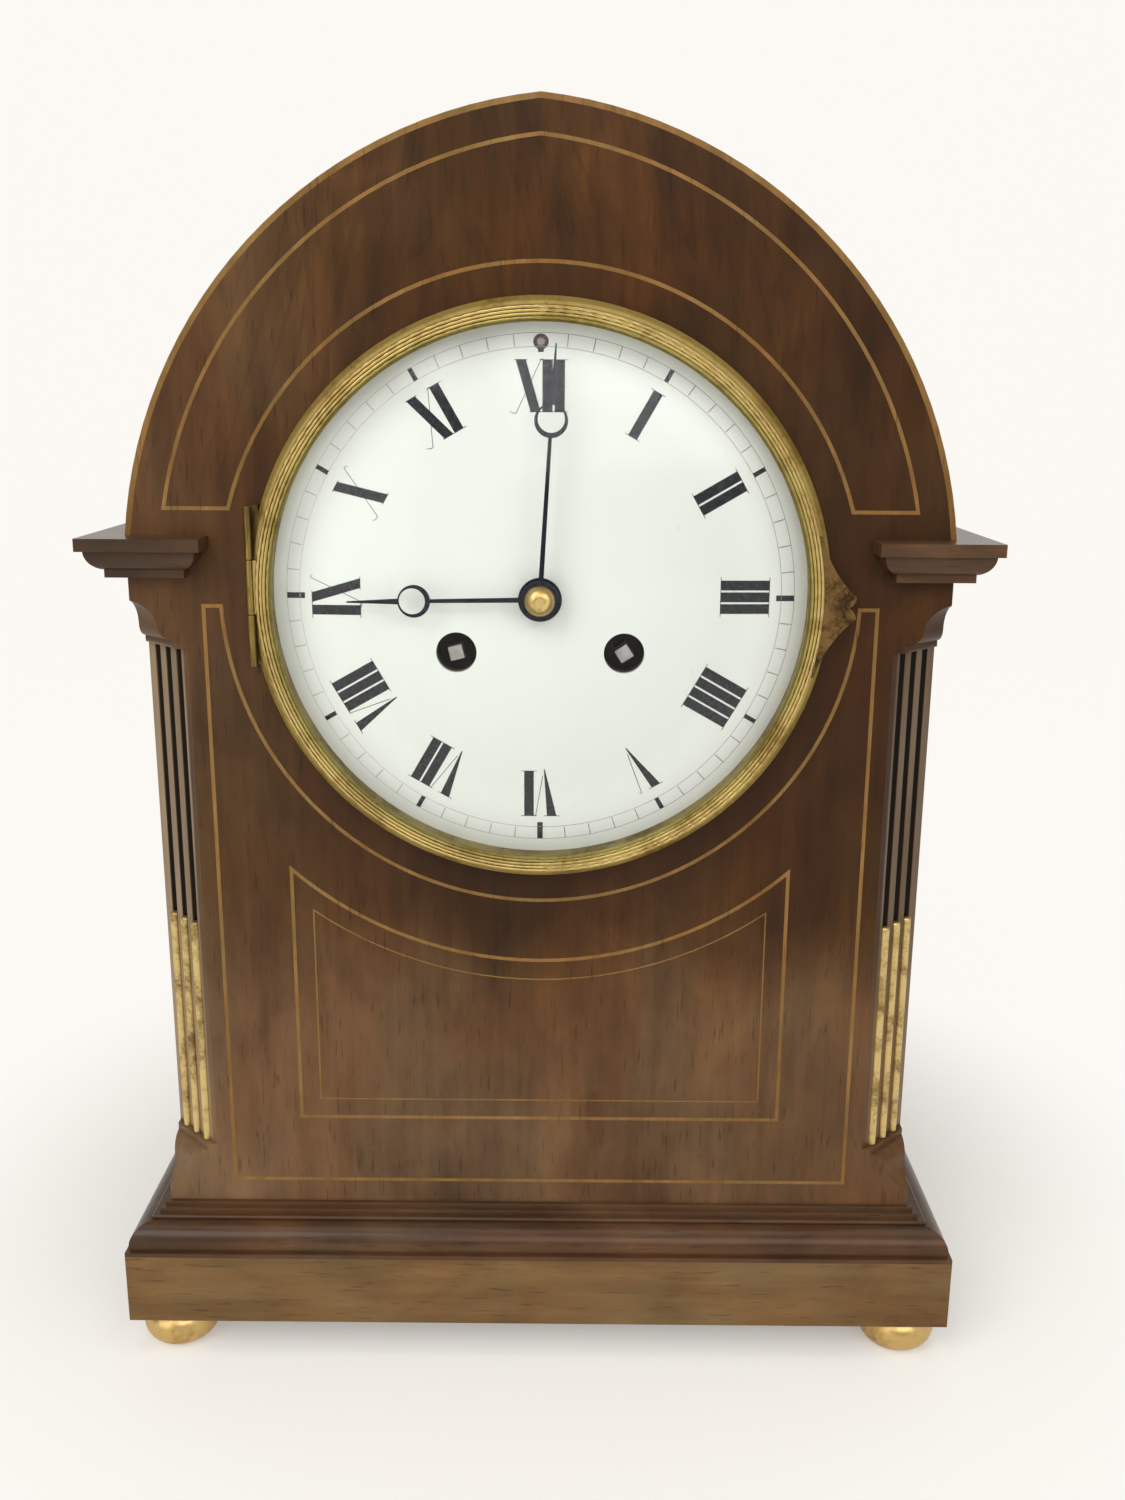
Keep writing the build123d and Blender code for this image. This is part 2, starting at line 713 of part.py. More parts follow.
def bezel_tab():
    """Thumb piece: flares out from the bezel's flat to two small lobes."""
    neck = BEZEL_R - BEZEL_FLAT
    edge = BEZEL_R - TAB_ROOT
    middle = dial_z - TAB_DROP
    out = BEZEL_R + TAB_REACH
    lines = []
    for way in (1, -1):
        turn = (way * TAB_HALF - TAB_DROP) / edge
        end = (neck * cos(turn), dial_z + neck * sin(turn))
        root = (edge * cos(turn), dial_z + edge * sin(turn))
        tip = (out, middle + way * TAB_LOBE)
        dip = (out - TAB_NOTCH / 4, middle + way * TAB_LOBE / 2)
        lines.append(Line(end, root))
        lines.append(TangentArc(root, tip, tangent=(way * sin(turn), -way * cos(turn))))
        lines.append(ThreePointArc(tip, dip, (out - TAB_NOTCH, middle)))
    low = -TAB_DROP / neck
    rim = ThreePointArc(lines[0] @ 0, (neck * cos(low), dial_z + neck * sin(low)), lines[3] @ 0)
    back = bezel_back_y - BEZEL_EDGE
    return slab(make_face([*lines, rim]), back - TAB_T, back)


def dial():
    edge = dial_edge_r
    middle = dial_dome_y(edge / 2)
    front_mid = dial_dome_y(0)
    face = ThreePointArc((0, front_mid), (edge / 2, middle), (edge, DIAL_RIM_Y))
    back = ThreePointArc((edge, DIAL_RIM_Y + DIAL_T), (edge / 2, middle + DIAL_T), (0, front_mid + DIAL_T))
    disc = turned([face, Line(face @ 1, back @ 0), back, Line(back @ 1, face @ 0)])
    return disc - dial_holes(front_mid, DIAL_RIM_Y + DIAL_T, REGULATOR_HOLE_R)


def dial_holes(y0, y1, regulator_r):
    holes = rod(CENTRE_AT, HOUR_PIPE_R + 2 * SWING, y0, y1)
    for at in (GOING_AT, STRIKE_AT):
        holes += rod(at, WIND_HOLE_R, y0, y1)
    return holes + rod(REGULATOR_AT, regulator_r, y0, y1)


def dial_plate():
    front = DIAL_RIM_Y + DIAL_T
    plate = rod(CENTRE_AT, dial_edge_r, front, dial_back_y)
    return plate - dial_holes(front, dial_back_y, REGULATOR_R + RUN)


def rear_door():
    back = BODY_D + REAR_FRAME_T + SWING
    edge = REAR_R + REAR_FLANGE - SWING
    rim_in = edge - REAR_DOOR_RIM
    door = turned(
        Polyline(
            (0, back), (rim_in, back), (edge, back), (edge, back + 2 * REAR_DOOR_T),
            (rim_in, back + 2 * REAR_DOOR_T), (rim_in - REAR_DOOR_RIM, back + REAR_DOOR_T),
            (0, back + REAR_DOOR_T), close=True,
        )
    )
    low, high = hinge_spans(dial_z)[1]
    web = block(edge - REAR_DOOR_RIM, rear_hinge_x, back, back + 2 * REAR_DOOR_T, low, high)
    door += web + upright(rear_hinge_x, rear_hinge_y, HINGE_R, low, high)
    door -= upright(rear_hinge_x, rear_hinge_y, PIN_R + RUN, low, high)
    knob_x = -(rim_in - 2 * KNOB_R)
    stem_y = back + REAR_DOOR_T
    shoulder = KNOB_H - KNOB_R
    stem = Polyline((0, 0), (KNOB_R * 0.6, 0), (KNOB_R * 0.45, shoulder * 0.7), (KNOB_R, shoulder))
    cap = CenterArc((0, shoulder), KNOB_R, 0, 90)
    knob = revolve(make_face([stem, cap, Line(cap @ 1, stem @ 0)]), Axis.Y)
    return door + Pos(knob_x, stem_y, dial_z) * knob


def rear_frame():
    inner = REAR_R - SEAT - SLEEVE_T
    edge = REAR_R + REAR_FLANGE
    frame = turned(
        Polyline(
            (inner, BODY_D - BACK_T), (REAR_R - SEAT, BODY_D - BACK_T), (REAR_R - SEAT, BODY_D), (edge, BODY_D),
            (edge, BODY_D + REAR_FRAME_T), (inner, BODY_D + REAR_FRAME_T), close=True,
        )
    )
    top = dial_z + HINGE_H / 2
    reach = rear_hinge_x + HINGE_R
    leaf = block(edge - HINGE_R * 2, reach, BODY_D, BODY_D + REAR_FRAME_T, 2 * dial_z - top, top)
    frame += leaf
    for low, high in hinge_spans(dial_z)[0]:
        web = block(rear_hinge_x, rear_hinge_x + HINGE_R, BODY_D, rear_hinge_y, low, high)
        frame += upright(rear_hinge_x, rear_hinge_y, HINGE_R, low, high) + web
    return frame - upright(rear_hinge_x, rear_hinge_y, PIN_R + RUN, dial_z - HINGE_H, dial_z + HINGE_H)


def front_parts():
    parts["dial_ring"] = dial_ring()
    parts["bezel_ring"] = bezel_ring()
    parts["bezel_glass"] = bezel_glass()
    parts["bezel_catch_tab"] = bezel_tab()
    front_pin = hinge_pin(bezel_hinge_x, bezel_hinge_y, bezel_hinge_z)
    pins = [front_pin, hinge_pin(rear_hinge_x, rear_hinge_y, dial_z)]
    parts["hinge_pins"] = Compound(children=pins)
    parts["dial"] = dial()
    parts["dial_plate"] = dial_plate()
    parts["rear_door"] = rear_door()
    parts["rear_door_frame"] = rear_frame()


# Wheels and arbors
def tooth_face(gear, turn):
    """Pointed teeth, the first one centred on the given direction."""
    tip = gear.pitch_r + TIP_SHARE * gear.module
    root = gear.pitch_r - ROOT_SHARE * gear.module
    points = []
    for index in range(gear.teeth):
        points.append(polar((0, 0), root, turn + 360 * (index - 0.5) / gear.teeth))
        points.append(polar((0, 0), tip, turn + 360 * index / gear.teeth))
    return make_face(Polyline(*points, close=True))


def spoke_windows(gear, turn):
    rim_r = gear.pitch_r - ROOT_SHARE * gear.module - RIM
    windows = Circle(rim_r) - Circle(HUB_R)
    for index in range(SPOKES // 2):
        windows -= Rot(Z=turn + 360 * index / SPOKES) * Rectangle(2 * rim_r, SPOKE_W)
    return windows


def wheel(gear, at, toward):
    """A crossed-out wheel with a tooth aimed at the pinion that it drives."""
    turn = bearing(at, toward)
    face = tooth_face(gear, turn) - spoke_windows(gear, turn)
    return slab(Pos(at[0], dial_z + at[1]) * face, gear.front, gear.front + gear.thick)


def pinion(gear, at, toward):
    """A pinion with a space aimed at the wheel that drives it."""
    face = tooth_face(gear, bearing(at, toward) + 180 / gear.teeth)
    return slab(Pos(at[0], dial_z + at[1]) * face, gear.front, gear.front + gear.thick)


def arbor(at, radius=ARBOR_R):
    """A plain arbor between the plates, with a pivot in each."""
    shank = rod(at, radius, inside_y + SHAKE, back_plate_y - SHAKE)
    return shank + rod(at, PIVOT_R, front_plate_y + SHAKE, outside_y - SHAKE)


def barrel(at, toward):
    front = GREAT.front
    drum_front = front + GREAT.thick
    turn = bearing(at, toward)
    drum = slab(Pos(at[0], dial_z + at[1]) * tooth_face(GREAT, turn), front, drum_front)
    drum += rod(at, DRUM_R, drum_front, drum_front + DRUM_L)
    drum -= rod(at, DRUM_R - DRUM_WALL, drum_front + DRUM_WALL, drum_front + DRUM_L - DRUM_WALL)
    return drum - rod(at, WINDER_R + RUN, front, drum_front + DRUM_L)


ratchet_y = front_plate_y - SHAKE - RATCHET_T


def winding_arbor(at, turn):
    square_end = ratchet_y - SHAKE
    square = Pos(at[0], dial_z + at[1]) * Rot(Z=turn) * Rectangle(SQUARE, SQUARE)
    stem = slab(square, SQUARE_TIP_Y, square_end)
    stem += rod(at, WINDER_R, square_end, back_plate_y - SHAKE)
    stem += rod(at, WINDER_PIVOT_R, back_plate_y - SHAKE, outside_y - SHAKE)
    points = []
    for index in range(RATCHET_TEETH):
        angle = 360 * index / RATCHET_TEETH
        points.append(polar((0, 0), RATCHET_R - RATCHET_ROOT, angle))
        points.append(polar((0, 0), RATCHET_R, angle))
    ratchet = make_face(Polyline(*points, close=True))
    return stem + slab(Pos(at[0], dial_z + at[1]) * ratchet, ratchet_y, ratchet_y + RATCHET_T)


def click_pivot(at):
    return (at[0], at[1] - CLICK_DROP)


def click(at):
    """A pawl that reaches up from its stud to the ratchet's teeth."""
    pivot = click_pivot(at)
    tip = polar((0, CLICK_DROP), RATCHET_R + SWING, 230)
    back = polar((0, CLICK_DROP), RATCHET_R + 2 * CLICK_R, 240)
    heel = (CLICK_R * cos(radians(60)), CLICK_R * sin(radians(60)))
    arm = make_face(Polyline((-CLICK_R, 0), heel, tip, back, close=True))
    face = Circle(CLICK_R) + arm
    solid = slab(Pos(pivot[0], dial_z + pivot[1]) * face, ratchet_y, ratchet_y + RATCHET_T)
    return solid - rod(pivot, ARBOR_R + RUN, ratchet_y, ratchet_y + RATCHET_T)


def going_train():
    parts["going_barrel"] = barrel(GOING_AT, SECOND_AT)
    second = wheel(SECOND, SECOND_AT, CENTRE_AT) + arbor(SECOND_AT)
    parts["going_second_wheel"] = second + pinion(SECOND_PINION, SECOND_AT, GOING_AT)
    centre = wheel(CENTRE, CENTRE_AT, THIRD_AT) + pinion(CENTRE_PINION, CENTRE_AT, SECOND_AT) + arbor(CENTRE_AT)
    tip_y = MINUTE_FRONT_Y - COLLET_H - ARBOR_TIP
    parts["centre_wheel"] = centre + rod(CENTRE_AT, CENTRE_R, tip_y, inside_y + SHAKE)
    third = wheel(THIRD, THIRD_AT, ESCAPE_AT) + pinion(THIRD_PINION, THIRD_AT, CENTRE_AT)
    parts["third_wheel"] = third + arbor(THIRD_AT, SLIM_R)
    escape = wheel(ESCAPE, ESCAPE_AT, PALLET_AT) + pinion(ESCAPE_PINION, ESCAPE_AT, THIRD_AT)
    parts["escape_wheel"] = escape + arbor(ESCAPE_AT)


def count_wheel():
    """A disc notched between the hours struck, so that each step is one blow longer."""
    face = Circle(COUNT_R)
    blows = 0
    total = sum(range(1, 13))
    for hour in range(1, 13):
        blows += hour
        notch = Pos(COUNT_R, 0) * Rectangle(2 * COUNT_NOTCH_D, COUNT_NOTCH_W)
        face -= Rot(Z=360 * blows / total) * notch
    at = STRIKE_SECOND_AT
    front = outside_y + ARBOR_R
    solid = slab(Pos(at[0], dial_z + at[1]) * face, front, front + CRUTCH_T)
    return solid - rod(at, ARBOR_R, front, front + CRUTCH_T)


def strike_train():
    parts["strike_barrel"] = barrel(STRIKE_AT, STRIKE_SECOND_AT)
    at = STRIKE_SECOND_AT
    second = wheel(STRIKE_SECOND, at, PIN_AT) + pinion(SECOND_PINION, at, STRIKE_AT) + arbor(at)
    end_y = outside_y + ARBOR_R + 2 * CRUTCH_T
    parts["strike_second_wheel"] = second + rod(at, ARBOR_R, inside_y + SHAKE, end_y)
    parts["count_wheel"] = count_wheel()
    pins = wheel(PIN, PIN_AT, WARNING_AT) + pinion(PIN_PINION, PIN_AT, STRIKE_SECOND_AT) + arbor(PIN_AT)
    for index in range(8):
        place = polar(PIN_AT, PIN.pitch_r - ROOT_SHARE * PIN.module - RIM / 2, 45 * index + 22.5)
        pins += rod(place, PIVOT_R, PIN.front - 2 * RIM, PIN.front + PIN.thick)
    parts["pin_wheel"] = pins
    warning = wheel(WARNING, WARNING_AT, FLY_AT) + pinion(WARNING_PINION, WARNING_AT, PIN_AT)
    parts["warning_wheel"] = warning + arbor(WARNING_AT)
    vane_y = inside_y + ARBOR_R
    vane = slab(Pos(FLY_AT[0], dial_z + FLY_AT[1]) * Rectangle(2 * FLY_HALF, ARBOR_R), vane_y, vane_y + FLY_L)
    parts["fly"] = vane + pinion(FLY_PINION, FLY_AT, WARNING_AT) + arbor(FLY_AT, SLIM_R)


def motion_work():
    pipe_front = MINUTE_FRONT_Y
    cannon = pinion(CANNON, CENTRE_AT, MINUTE_AT) + rod(CENTRE_AT, CANNON_R, pipe_front, front_plate_y - SHAKE)
    parts["cannon_pinion"] = cannon - rod(CENTRE_AT, CENTRE_R + RUN, pipe_front, front_plate_y)
    minute = wheel(MINUTE, MINUTE_AT, CENTRE_AT) + pinion(MINUTE_PINION, MINUTE_AT, CENTRE_AT)
    minute += rod(MINUTE_AT, HUB_R, MINUTE.front, front_plate_y - SHAKE)
    parts["minute_wheel"] = minute - rod(MINUTE_AT, ARBOR_R + RUN, dial_back_y, front_plate_y)
    hour = wheel(HOUR, CENTRE_AT, MINUTE_AT)
    hour += rod(CENTRE_AT, HOUR_PIPE_R, HOUR_FRONT_Y, HOUR.front + HOUR.thick)
    parts["hour_wheel"] = hour - rod(CENTRE_AT, CANNON_R + RUN, HOUR_FRONT_Y, CANNON.front)
    winders = [("going", GOING_AT, GOING_SQUARE_TURN), ("strike", STRIKE_AT, STRIKE_SQUARE_TURN)]
    for name, at, turn in winders:
        parts[name + "_winding_arbor"] = winding_arbor(at, turn)
        parts[name + "_click"] = click(at)


def moon_hand(length, moon, boss_r, bore, turn):
    """A slim hand with an open moon, drawn along +x and then turned."""
    root = HAND_W / 2
    neck = HAND_W / 3
    spear = HAND_W / 1.5
    point = HAND_W / 8
    shaft = make_face(Polyline((0, root), (moon, neck), (moon, -neck), (0, -root), close=True))
    tip = make_face(Polyline((moon, spear), (length, point), (length, -point), (moon, -spear), close=True))
    face = Circle(boss_r) + shaft + tip + Pos(moon, 0) * Circle(MOON_R)
    face -= Pos(moon + MOON_SHIFT, 0) * Circle(MOON_HOLE_R)
    face -= Circle(bore)
    return Pos(0, dial_z) * Rot(Z=turn) * face


def hands():
    hour = moon_hand(HOUR_LEN, HOUR_MOON, HOUR_BOSS_R, HOUR_PIPE_R, HOUR_REST)
    parts["hour_hand"] = slab(hour, HOUR_FRONT_Y, HOUR_FRONT_Y + HAND_T)
    minute = slab(moon_hand(MINUTE_LEN, MINUTE_MOON, MINUTE_BOSS_R, CANNON_R, 0), MINUTE_FRONT_Y, 0)
    bend_x = MINUTE_MOON + MOON_R
    bend_y = MINUTE_FRONT_Y + MINUTE_TIP_BEND
    tail_x = -2 * MINUTE_BOSS_R
    strip = Polyline(
        (tail_x, MINUTE_FRONT_Y), (bend_x, MINUTE_FRONT_Y), (MINUTE_LEN, bend_y), (MINUTE_LEN, bend_y + HAND_T),
        (bend_x, MINUTE_FRONT_Y + HAND_T), (tail_x, MINUTE_FRONT_Y + HAND_T), close=True,
    )
    minute &= extrude(Plane.XY.offset(dial_z) * make_face(strip), amount=BEZEL_R, both=True)
    parts["minute_hand"] = Pos(0, 0, dial_z) * Rot(Y=-MINUTE_REST) * Pos(0, 0, -dial_z) * minute
    back = MINUTE_FRONT_Y
    front = back - COLLET_H
    bore = CENTRE_R + RUN
    rim = Polyline((bore, front), (bore, back), (COLLET_R, back))
    crown = ThreePointArc((COLLET_R, back), (COLLET_R * 0.75, back - COLLET_H * 0.7), (bore, front))
    parts["hand_collet"] = turned([rim, crown])


# Movement frame
def front_plate():
    plate = rod(CENTRE_AT, PLATE_R, front_plate_y, inside_y)
    going = [SECOND_AT, THIRD_AT, ESCAPE_AT, PALLET_AT]
    strike = [STRIKE_SECOND_AT, PIN_AT, WARNING_AT, FLY_AT, HAMMER_AT]
    for at in going + strike:
        plate -= rod(at, PIVOT_R + RUN, front_plate_y, inside_y)
    plate -= rod(CENTRE_AT, CENTRE_R + RUN, front_plate_y, inside_y)
    plate += rod(MINUTE_AT, ARBOR_R, MINUTE_PINION.front, front_plate_y)
    for at in (GOING_AT, STRIKE_AT):
        plate -= rod(at, WINDER_R + RUN, front_plate_y, inside_y)
        plate += rod(click_pivot(at), ARBOR_R, ratchet_y - SHAKE, front_plate_y)
    return plate


def back_plate():
    plate = rod(CENTRE_AT, PLATE_R, back_plate_y, outside_y)
    for at in (CENTRE_AT, SECOND_AT, THIRD_AT, ESCAPE_AT, PIN_AT, WARNING_AT, FLY_AT, HAMMER_AT):
        plate -= rod(at, PIVOT_R + RUN, back_plate_y, outside_y)
    plate -= rod(STRIKE_SECOND_AT, ARBOR_R + RUN, back_plate_y, outside_y)
    plate -= rod(PALLET_AT, ARBOR_R + SWING, back_plate_y, outside_y)
    for at in (GOING_AT, STRIKE_AT):
        plate -= rod(at, WINDER_PIVOT_R + RUN, back_plate_y, outside_y)
    return plate


def frame_parts():
    parts["front_plate"] = front_plate()
    parts["back_plate"] = back_plate()
    pillars = [rod(at, PILLAR_R, inside_y, back_plate_y) for at in PILLARS_AT]
    parts["plate_pillars"] = Compound(children=pillars)
    posts = [rod(at, FOOT_POST_R, dial_back_y, front_plate_y) for at in DIAL_FEET_AT]
    parts["dial_feet"] = Compound(children=posts)
    sleeve = REAR_R - SEAT - SLEEVE_T
    outer = sqrt(sleeve**2 - (STRAP_W / 2) ** 2) - RUN
    low = dial_z - STRAP_W / 2
    high = dial_z + STRAP_W / 2
    strap = block(outer - STRAP_T, outer, dial_back_y, BODY_D - SLEEVE_T, low, high)
    strap += block(outer - STRAP_W, outer, dial_back_y, dial_back_y + STRAP_T, low, high)
    parts["fixing_straps"] = Compound(children=[strap, mirrored(strap)])


# Escapement and pendulum
def pallet_anchor():
    wide = 7.6
    arch = Polyline(
        (0, 2.0), (3.4, 1.0), (wide, -1.6), (wide, -4.4), (wide - 1.1, -4.0), (wide - 1.9, -2.2), (0, -0.9)
    )
    side = make_face([arch, Line(arch @ 1, arch @ 0)])
    at = PALLET_AT
    face = Pos(at[0], dial_z + at[1]) * (side + mirrored(side) + Circle(ARBOR_R + RIM))
    front = ESCAPE.front - SHAKE
    anchor = slab(face, front, ESCAPE.front + ESCAPE.thick + SHAKE)
    anchor += rod(at, ARBOR_R, inside_y + SHAKE, cock_y - SHAKE)
    anchor += rod(at, PIVOT_R, front_plate_y + SHAKE, cock_y + COCK_T - SHAKE)
    top = dial_z + at[1]
    low = top - CRUTCH_L
    crutch_y = outside_y + 2 * ARBOR_R
    anchor += block(-CRUTCH_W / 2, CRUTCH_W / 2, crutch_y, crutch_y + CRUTCH_T, low, top)
    gap = ROD_R + SWING
    anchor += block(-gap - PRONG, gap + PRONG, crutch_y, crutch_y + CRUTCH_T, low, low + CRUTCH_W)
    for side_x in (-gap - PRONG, gap):
        anchor += block(side_x, side_x + PRONG, crutch_y, pendulum_y + CRUTCH_W, low, low + CRUTCH_W)
    return anchor


def pendulum_cock():
    level = dial_z + PALLET_AT[1]
    leg_x = COCK_HALF - PILLAR_R
    bar = area(-COCK_HALF, COCK_HALF, level - PILLAR_R, level + PILLAR_R)
    stem_top = dial_z + REGULATOR_RISE + PILLAR_R
    face = bar + area(-PILLAR_R, PILLAR_R, level, stem_top)
    cock = slab(face, cock_y, cock_y + COCK_T)
    for x in (-leg_x, leg_x):
        cock += rod((x, PALLET_AT[1]), PILLAR_R - SHAKE, outside_y, cock_y)
    cock -= rod(PALLET_AT, PIVOT_R + RUN, cock_y, cock_y + COCK_T)
    cock -= rod(REGULATOR_AT, REGULATOR_R + RUN, cock_y, cock_y + COCK_T)
    return cock + rod(stud_at(), STUD_R, cock_y, pendulum_y + CHOP_W / 2)


def stud_at():
    return (0.0, PALLET_AT[1] + SPRING_H / 2 + CHOP_H / 2)


def suspension_spring():
    level = dial_z + PALLET_AT[1]
    low = level - SPRING_H / 2
    high = level + SPRING_H / 2
    front = pendulum_y - CHOP_W / 2
    back = pendulum_y + CHOP_W / 2
    strip = block(-SPRING_T / 2, SPRING_T / 2, front, back, low, high)
    upper = block(-CHOP_HALF, CHOP_HALF, front, back, high, high + CHOP_H)
    lower = block(-CHOP_HALF, CHOP_HALF, front, back, low - CHOP_H, low)
    return strip + upper + lower - rod(stud_at(), STUD_R + STUD_PLAY, front, back)


def pendulum_parts():
    parts["pallet_anchor"] = pallet_anchor()
    parts["pendulum_cock"] = pendulum_cock()
    parts["suspension_spring"] = suspension_spring()
    level = dial_z + PALLET_AT[1]
    bob_z = level - PENDULUM_LEN
    nut_top = bob_z - BOB_R - SHAKE
    rod_top = level - SPRING_H / 2 - CHOP_H
    parts["pendulum_rod"] = upright(0, pendulum_y, ROD_R, nut_top - 3 * NUT_H, rod_top)
    thick = BOB_T / 2
    bulge = thick - cap_y(BOB_R / 2, BOB_R, thick)
    front = ThreePointArc((0, -thick), (BOB_R / 2, -bulge), (BOB_R, 0))
    back = ThreePointArc((BOB_R, 0), (BOB_R / 2, bulge), (0, thick))
    lens = make_face([front, back, Line(back @ 1, front @ 0)])
    bob = Pos(0, pendulum_y, bob_z) * revolve(lens, Axis.Y)
    parts["pendulum_bob"] = bob - upright(0, pendulum_y, ROD_R + RUN, bob_z - BOB_R, bob_z + BOB_R)
    nut = upright(0, pendulum_y, NUT_R, nut_top - NUT_H, nut_top)
    parts["rating_nut"] = nut - upright(0, pendulum_y, ROD_R + RUN, nut_top - NUT_H, nut_top)
    regulator = rod(REGULATOR_AT, REGULATOR_R, DIAL_RIM_Y - DIAL_DOME / 2, cock_y + COCK_T + SHAKE)
    parts["regulator_arbor"] = regulator


# Strike: a flat coil of half turns on a boss, and a hammer beside its last turn
def gong_arcs():
    centre_z = floor_z + GONG_RISE
    radius = GONG_BOSS_R + GONG_WIRE_R + SEAT
    start = (-radius, centre_z)
    arcs = []
    for index in range(GONG_HALF_TURNS):
        way = 1 if index % 2 == 0 else -1
        grow = radius + GONG_PITCH / 4
        middle_x = start[0] + way * grow
        end = (start[0] + 2 * way * grow, centre_z)
        arcs.append(ThreePointArc(start, (middle_x, centre_z + way * grow), end))
        start = end
        radius = grow + GONG_PITCH / 4
    return arcs


def gong():
    path = Plane.XZ.offset(-GONG_Y) * Wire(gong_arcs())
    section = Plane(origin=path @ 0, z_dir=path % 0) * Circle(GONG_WIRE_R)
    return sweep(section, path=path)


def gong_gap():
    """Least room between neighbouring turns, measured on points along the wire's middle."""
    arcs = gong_arcs()
    rows = [[arc @ (step / 24) for step in range(25)] for arc in arcs]
    least = min(
        (one - other).length
        for first in range(len(rows) - 2)
        for second in range(first + 2, len(rows))
        for one in rows[first]
        for other in rows[second]
    )
    return least - 2 * GONG_WIRE_R


def gong_block():
    centre_z = floor_z + GONG_RISE
    post_y = GONG_Y + 2 * GONG_WIRE_R
    half_post = GONG_POST_W / 2
    wide = GONG_FOOT_W / 2
    foot = block(-wide, wide, post_y, post_y + 2 * GONG_POST_W, floor_z, floor_z + GONG_FOOT_H)
    post = block(-half_post, half_post, post_y, post_y + GONG_POST_W, floor_z, centre_z + half_post)
    boss = rod((0, centre_z - dial_z), GONG_BOSS_R, GONG_Y - 2 * GONG_WIRE_R, post_y)
    return foot + post + boss


def gong_reach():
    return -min((arc @ step).X for arc in gong_arcs() for step in (0, 0.5, 1)) + GONG_WIRE_R


def hammer():
    centre_z = floor_z + GONG_RISE
    head_x = -gong_reach() - HAMMER_REST - HAMMER_HEAD_R
    rod_y = inside_y + HAMMER_PLANE
    pivot = Vector(HAMMER_AT[0], rod_y, dial_z + HAMMER_AT[1])
    head = Vector(head_x, rod_y, centre_z)
    line = Plane(origin=pivot, z_dir=head - pivot)
    stick = extrude(line * Circle(HAMMER_ROD_R), amount=(head - pivot).length)
    at = (head_x, centre_z - dial_z)
    stick += rod(at, HAMMER_HEAD_R, GONG_Y - HAMMER_HEAD_L / 2, GONG_Y + HAMMER_HEAD_L / 2)
    stick += rod(HAMMER_AT, ARBOR_R + RIM, rod_y - ARBOR_R - RIM, rod_y + ARBOR_R + RIM)
    tail_l = hypot(PIN_AT[0] - HAMMER_AT[0], PIN_AT[1] - HAMMER_AT[1]) - PIN.pitch_r
    turn = bearing(HAMMER_AT, PIN_AT)
    tail = Rot(Z=turn) * Pos(tail_l / 2, 0) * Rectangle(tail_l, HAND_W)
    tail_y = PIN.front - 2 * RIM
    stick += slab(Pos(HAMMER_AT[0], dial_z + HAMMER_AT[1]) * tail, tail_y, tail_y + RIM)
    return stick + arbor(HAMMER_AT)


def strike_parts():
    parts["gong"] = gong()
    parts["gong_block"] = gong_block()
    parts["hammer"] = hammer()
    print("least gap between gong turns", round(gong_gap(), 2))


def main():
    case_parts()
    front_parts()
    frame_parts()
    going_train()
    strike_train()
    motion_work()
    hands()
    pendulum_parts()
    strike_parts()
    os.makedirs("parts", exist_ok=True)
    for name, shape in parts.items():
        export_step(Pos(0, -middle_y, 0) * shape, f"parts/{name}.step")


main()
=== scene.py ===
import json
from math import cos, pi, radians, sin

import bpy
from mathutils import Matrix, Vector


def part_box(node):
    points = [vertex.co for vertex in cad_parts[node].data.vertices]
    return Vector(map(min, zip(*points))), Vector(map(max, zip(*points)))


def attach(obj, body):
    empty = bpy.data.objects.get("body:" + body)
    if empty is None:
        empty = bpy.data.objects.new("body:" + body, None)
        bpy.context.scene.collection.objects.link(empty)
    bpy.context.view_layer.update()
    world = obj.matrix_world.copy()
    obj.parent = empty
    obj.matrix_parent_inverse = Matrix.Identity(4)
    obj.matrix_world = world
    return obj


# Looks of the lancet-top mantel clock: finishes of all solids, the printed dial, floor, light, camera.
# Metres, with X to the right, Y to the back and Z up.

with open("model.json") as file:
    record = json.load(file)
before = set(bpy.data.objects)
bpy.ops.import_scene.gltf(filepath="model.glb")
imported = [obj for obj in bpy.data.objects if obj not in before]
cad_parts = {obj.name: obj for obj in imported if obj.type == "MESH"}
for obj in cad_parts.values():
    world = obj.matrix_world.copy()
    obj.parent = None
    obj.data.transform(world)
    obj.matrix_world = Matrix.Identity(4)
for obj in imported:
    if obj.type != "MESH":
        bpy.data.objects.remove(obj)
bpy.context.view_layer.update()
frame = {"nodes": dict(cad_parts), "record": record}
nodes = frame["nodes"]
MM = 0.001

# Camera: the photograph's viewpoint, with the eye in millimetres and the turns in degrees
LENS_MM = 33.763
SENSOR_MM = 36.0
EYE = (7.32, -421.96, 264.33)
PITCH = 14.248
YAW = -0.233
ROLL = 0.352

# Dial print, in millimetres from the dial's centre
NUMERAL_OUT = 58.2
NUMERAL_IN = 45.8
BAR_W = 2.5
BAR_GAP = 0.5
CURL = 0.8
HAIR = 0.16
SERIF = 0.8
RING_OUT = 64.6
RING_IN = 61.3
RING_LINE = 0.13
TICK_W = 0.26
TICK_GAP = 0.3
HOUR_BAR_W = 1.15
QUARTER_BAR_W = 1.45
QUARTER_BAR_IN = 60.0
TWELVE_GAP = 0.5
PRINT_LIFT = 0.04

# The V: its width, the share of it at which the strokes meet, and how far the strokes' ends are moved
V_W = 6.3
V_FOOT = 0.56
V_DROP = 0.5
V_TIP_W = 0.25
V_BAR_IN = 0.3
V_HAIR_IN = 0.5
V_HAIR_FOOT = (0.4, 1.2)

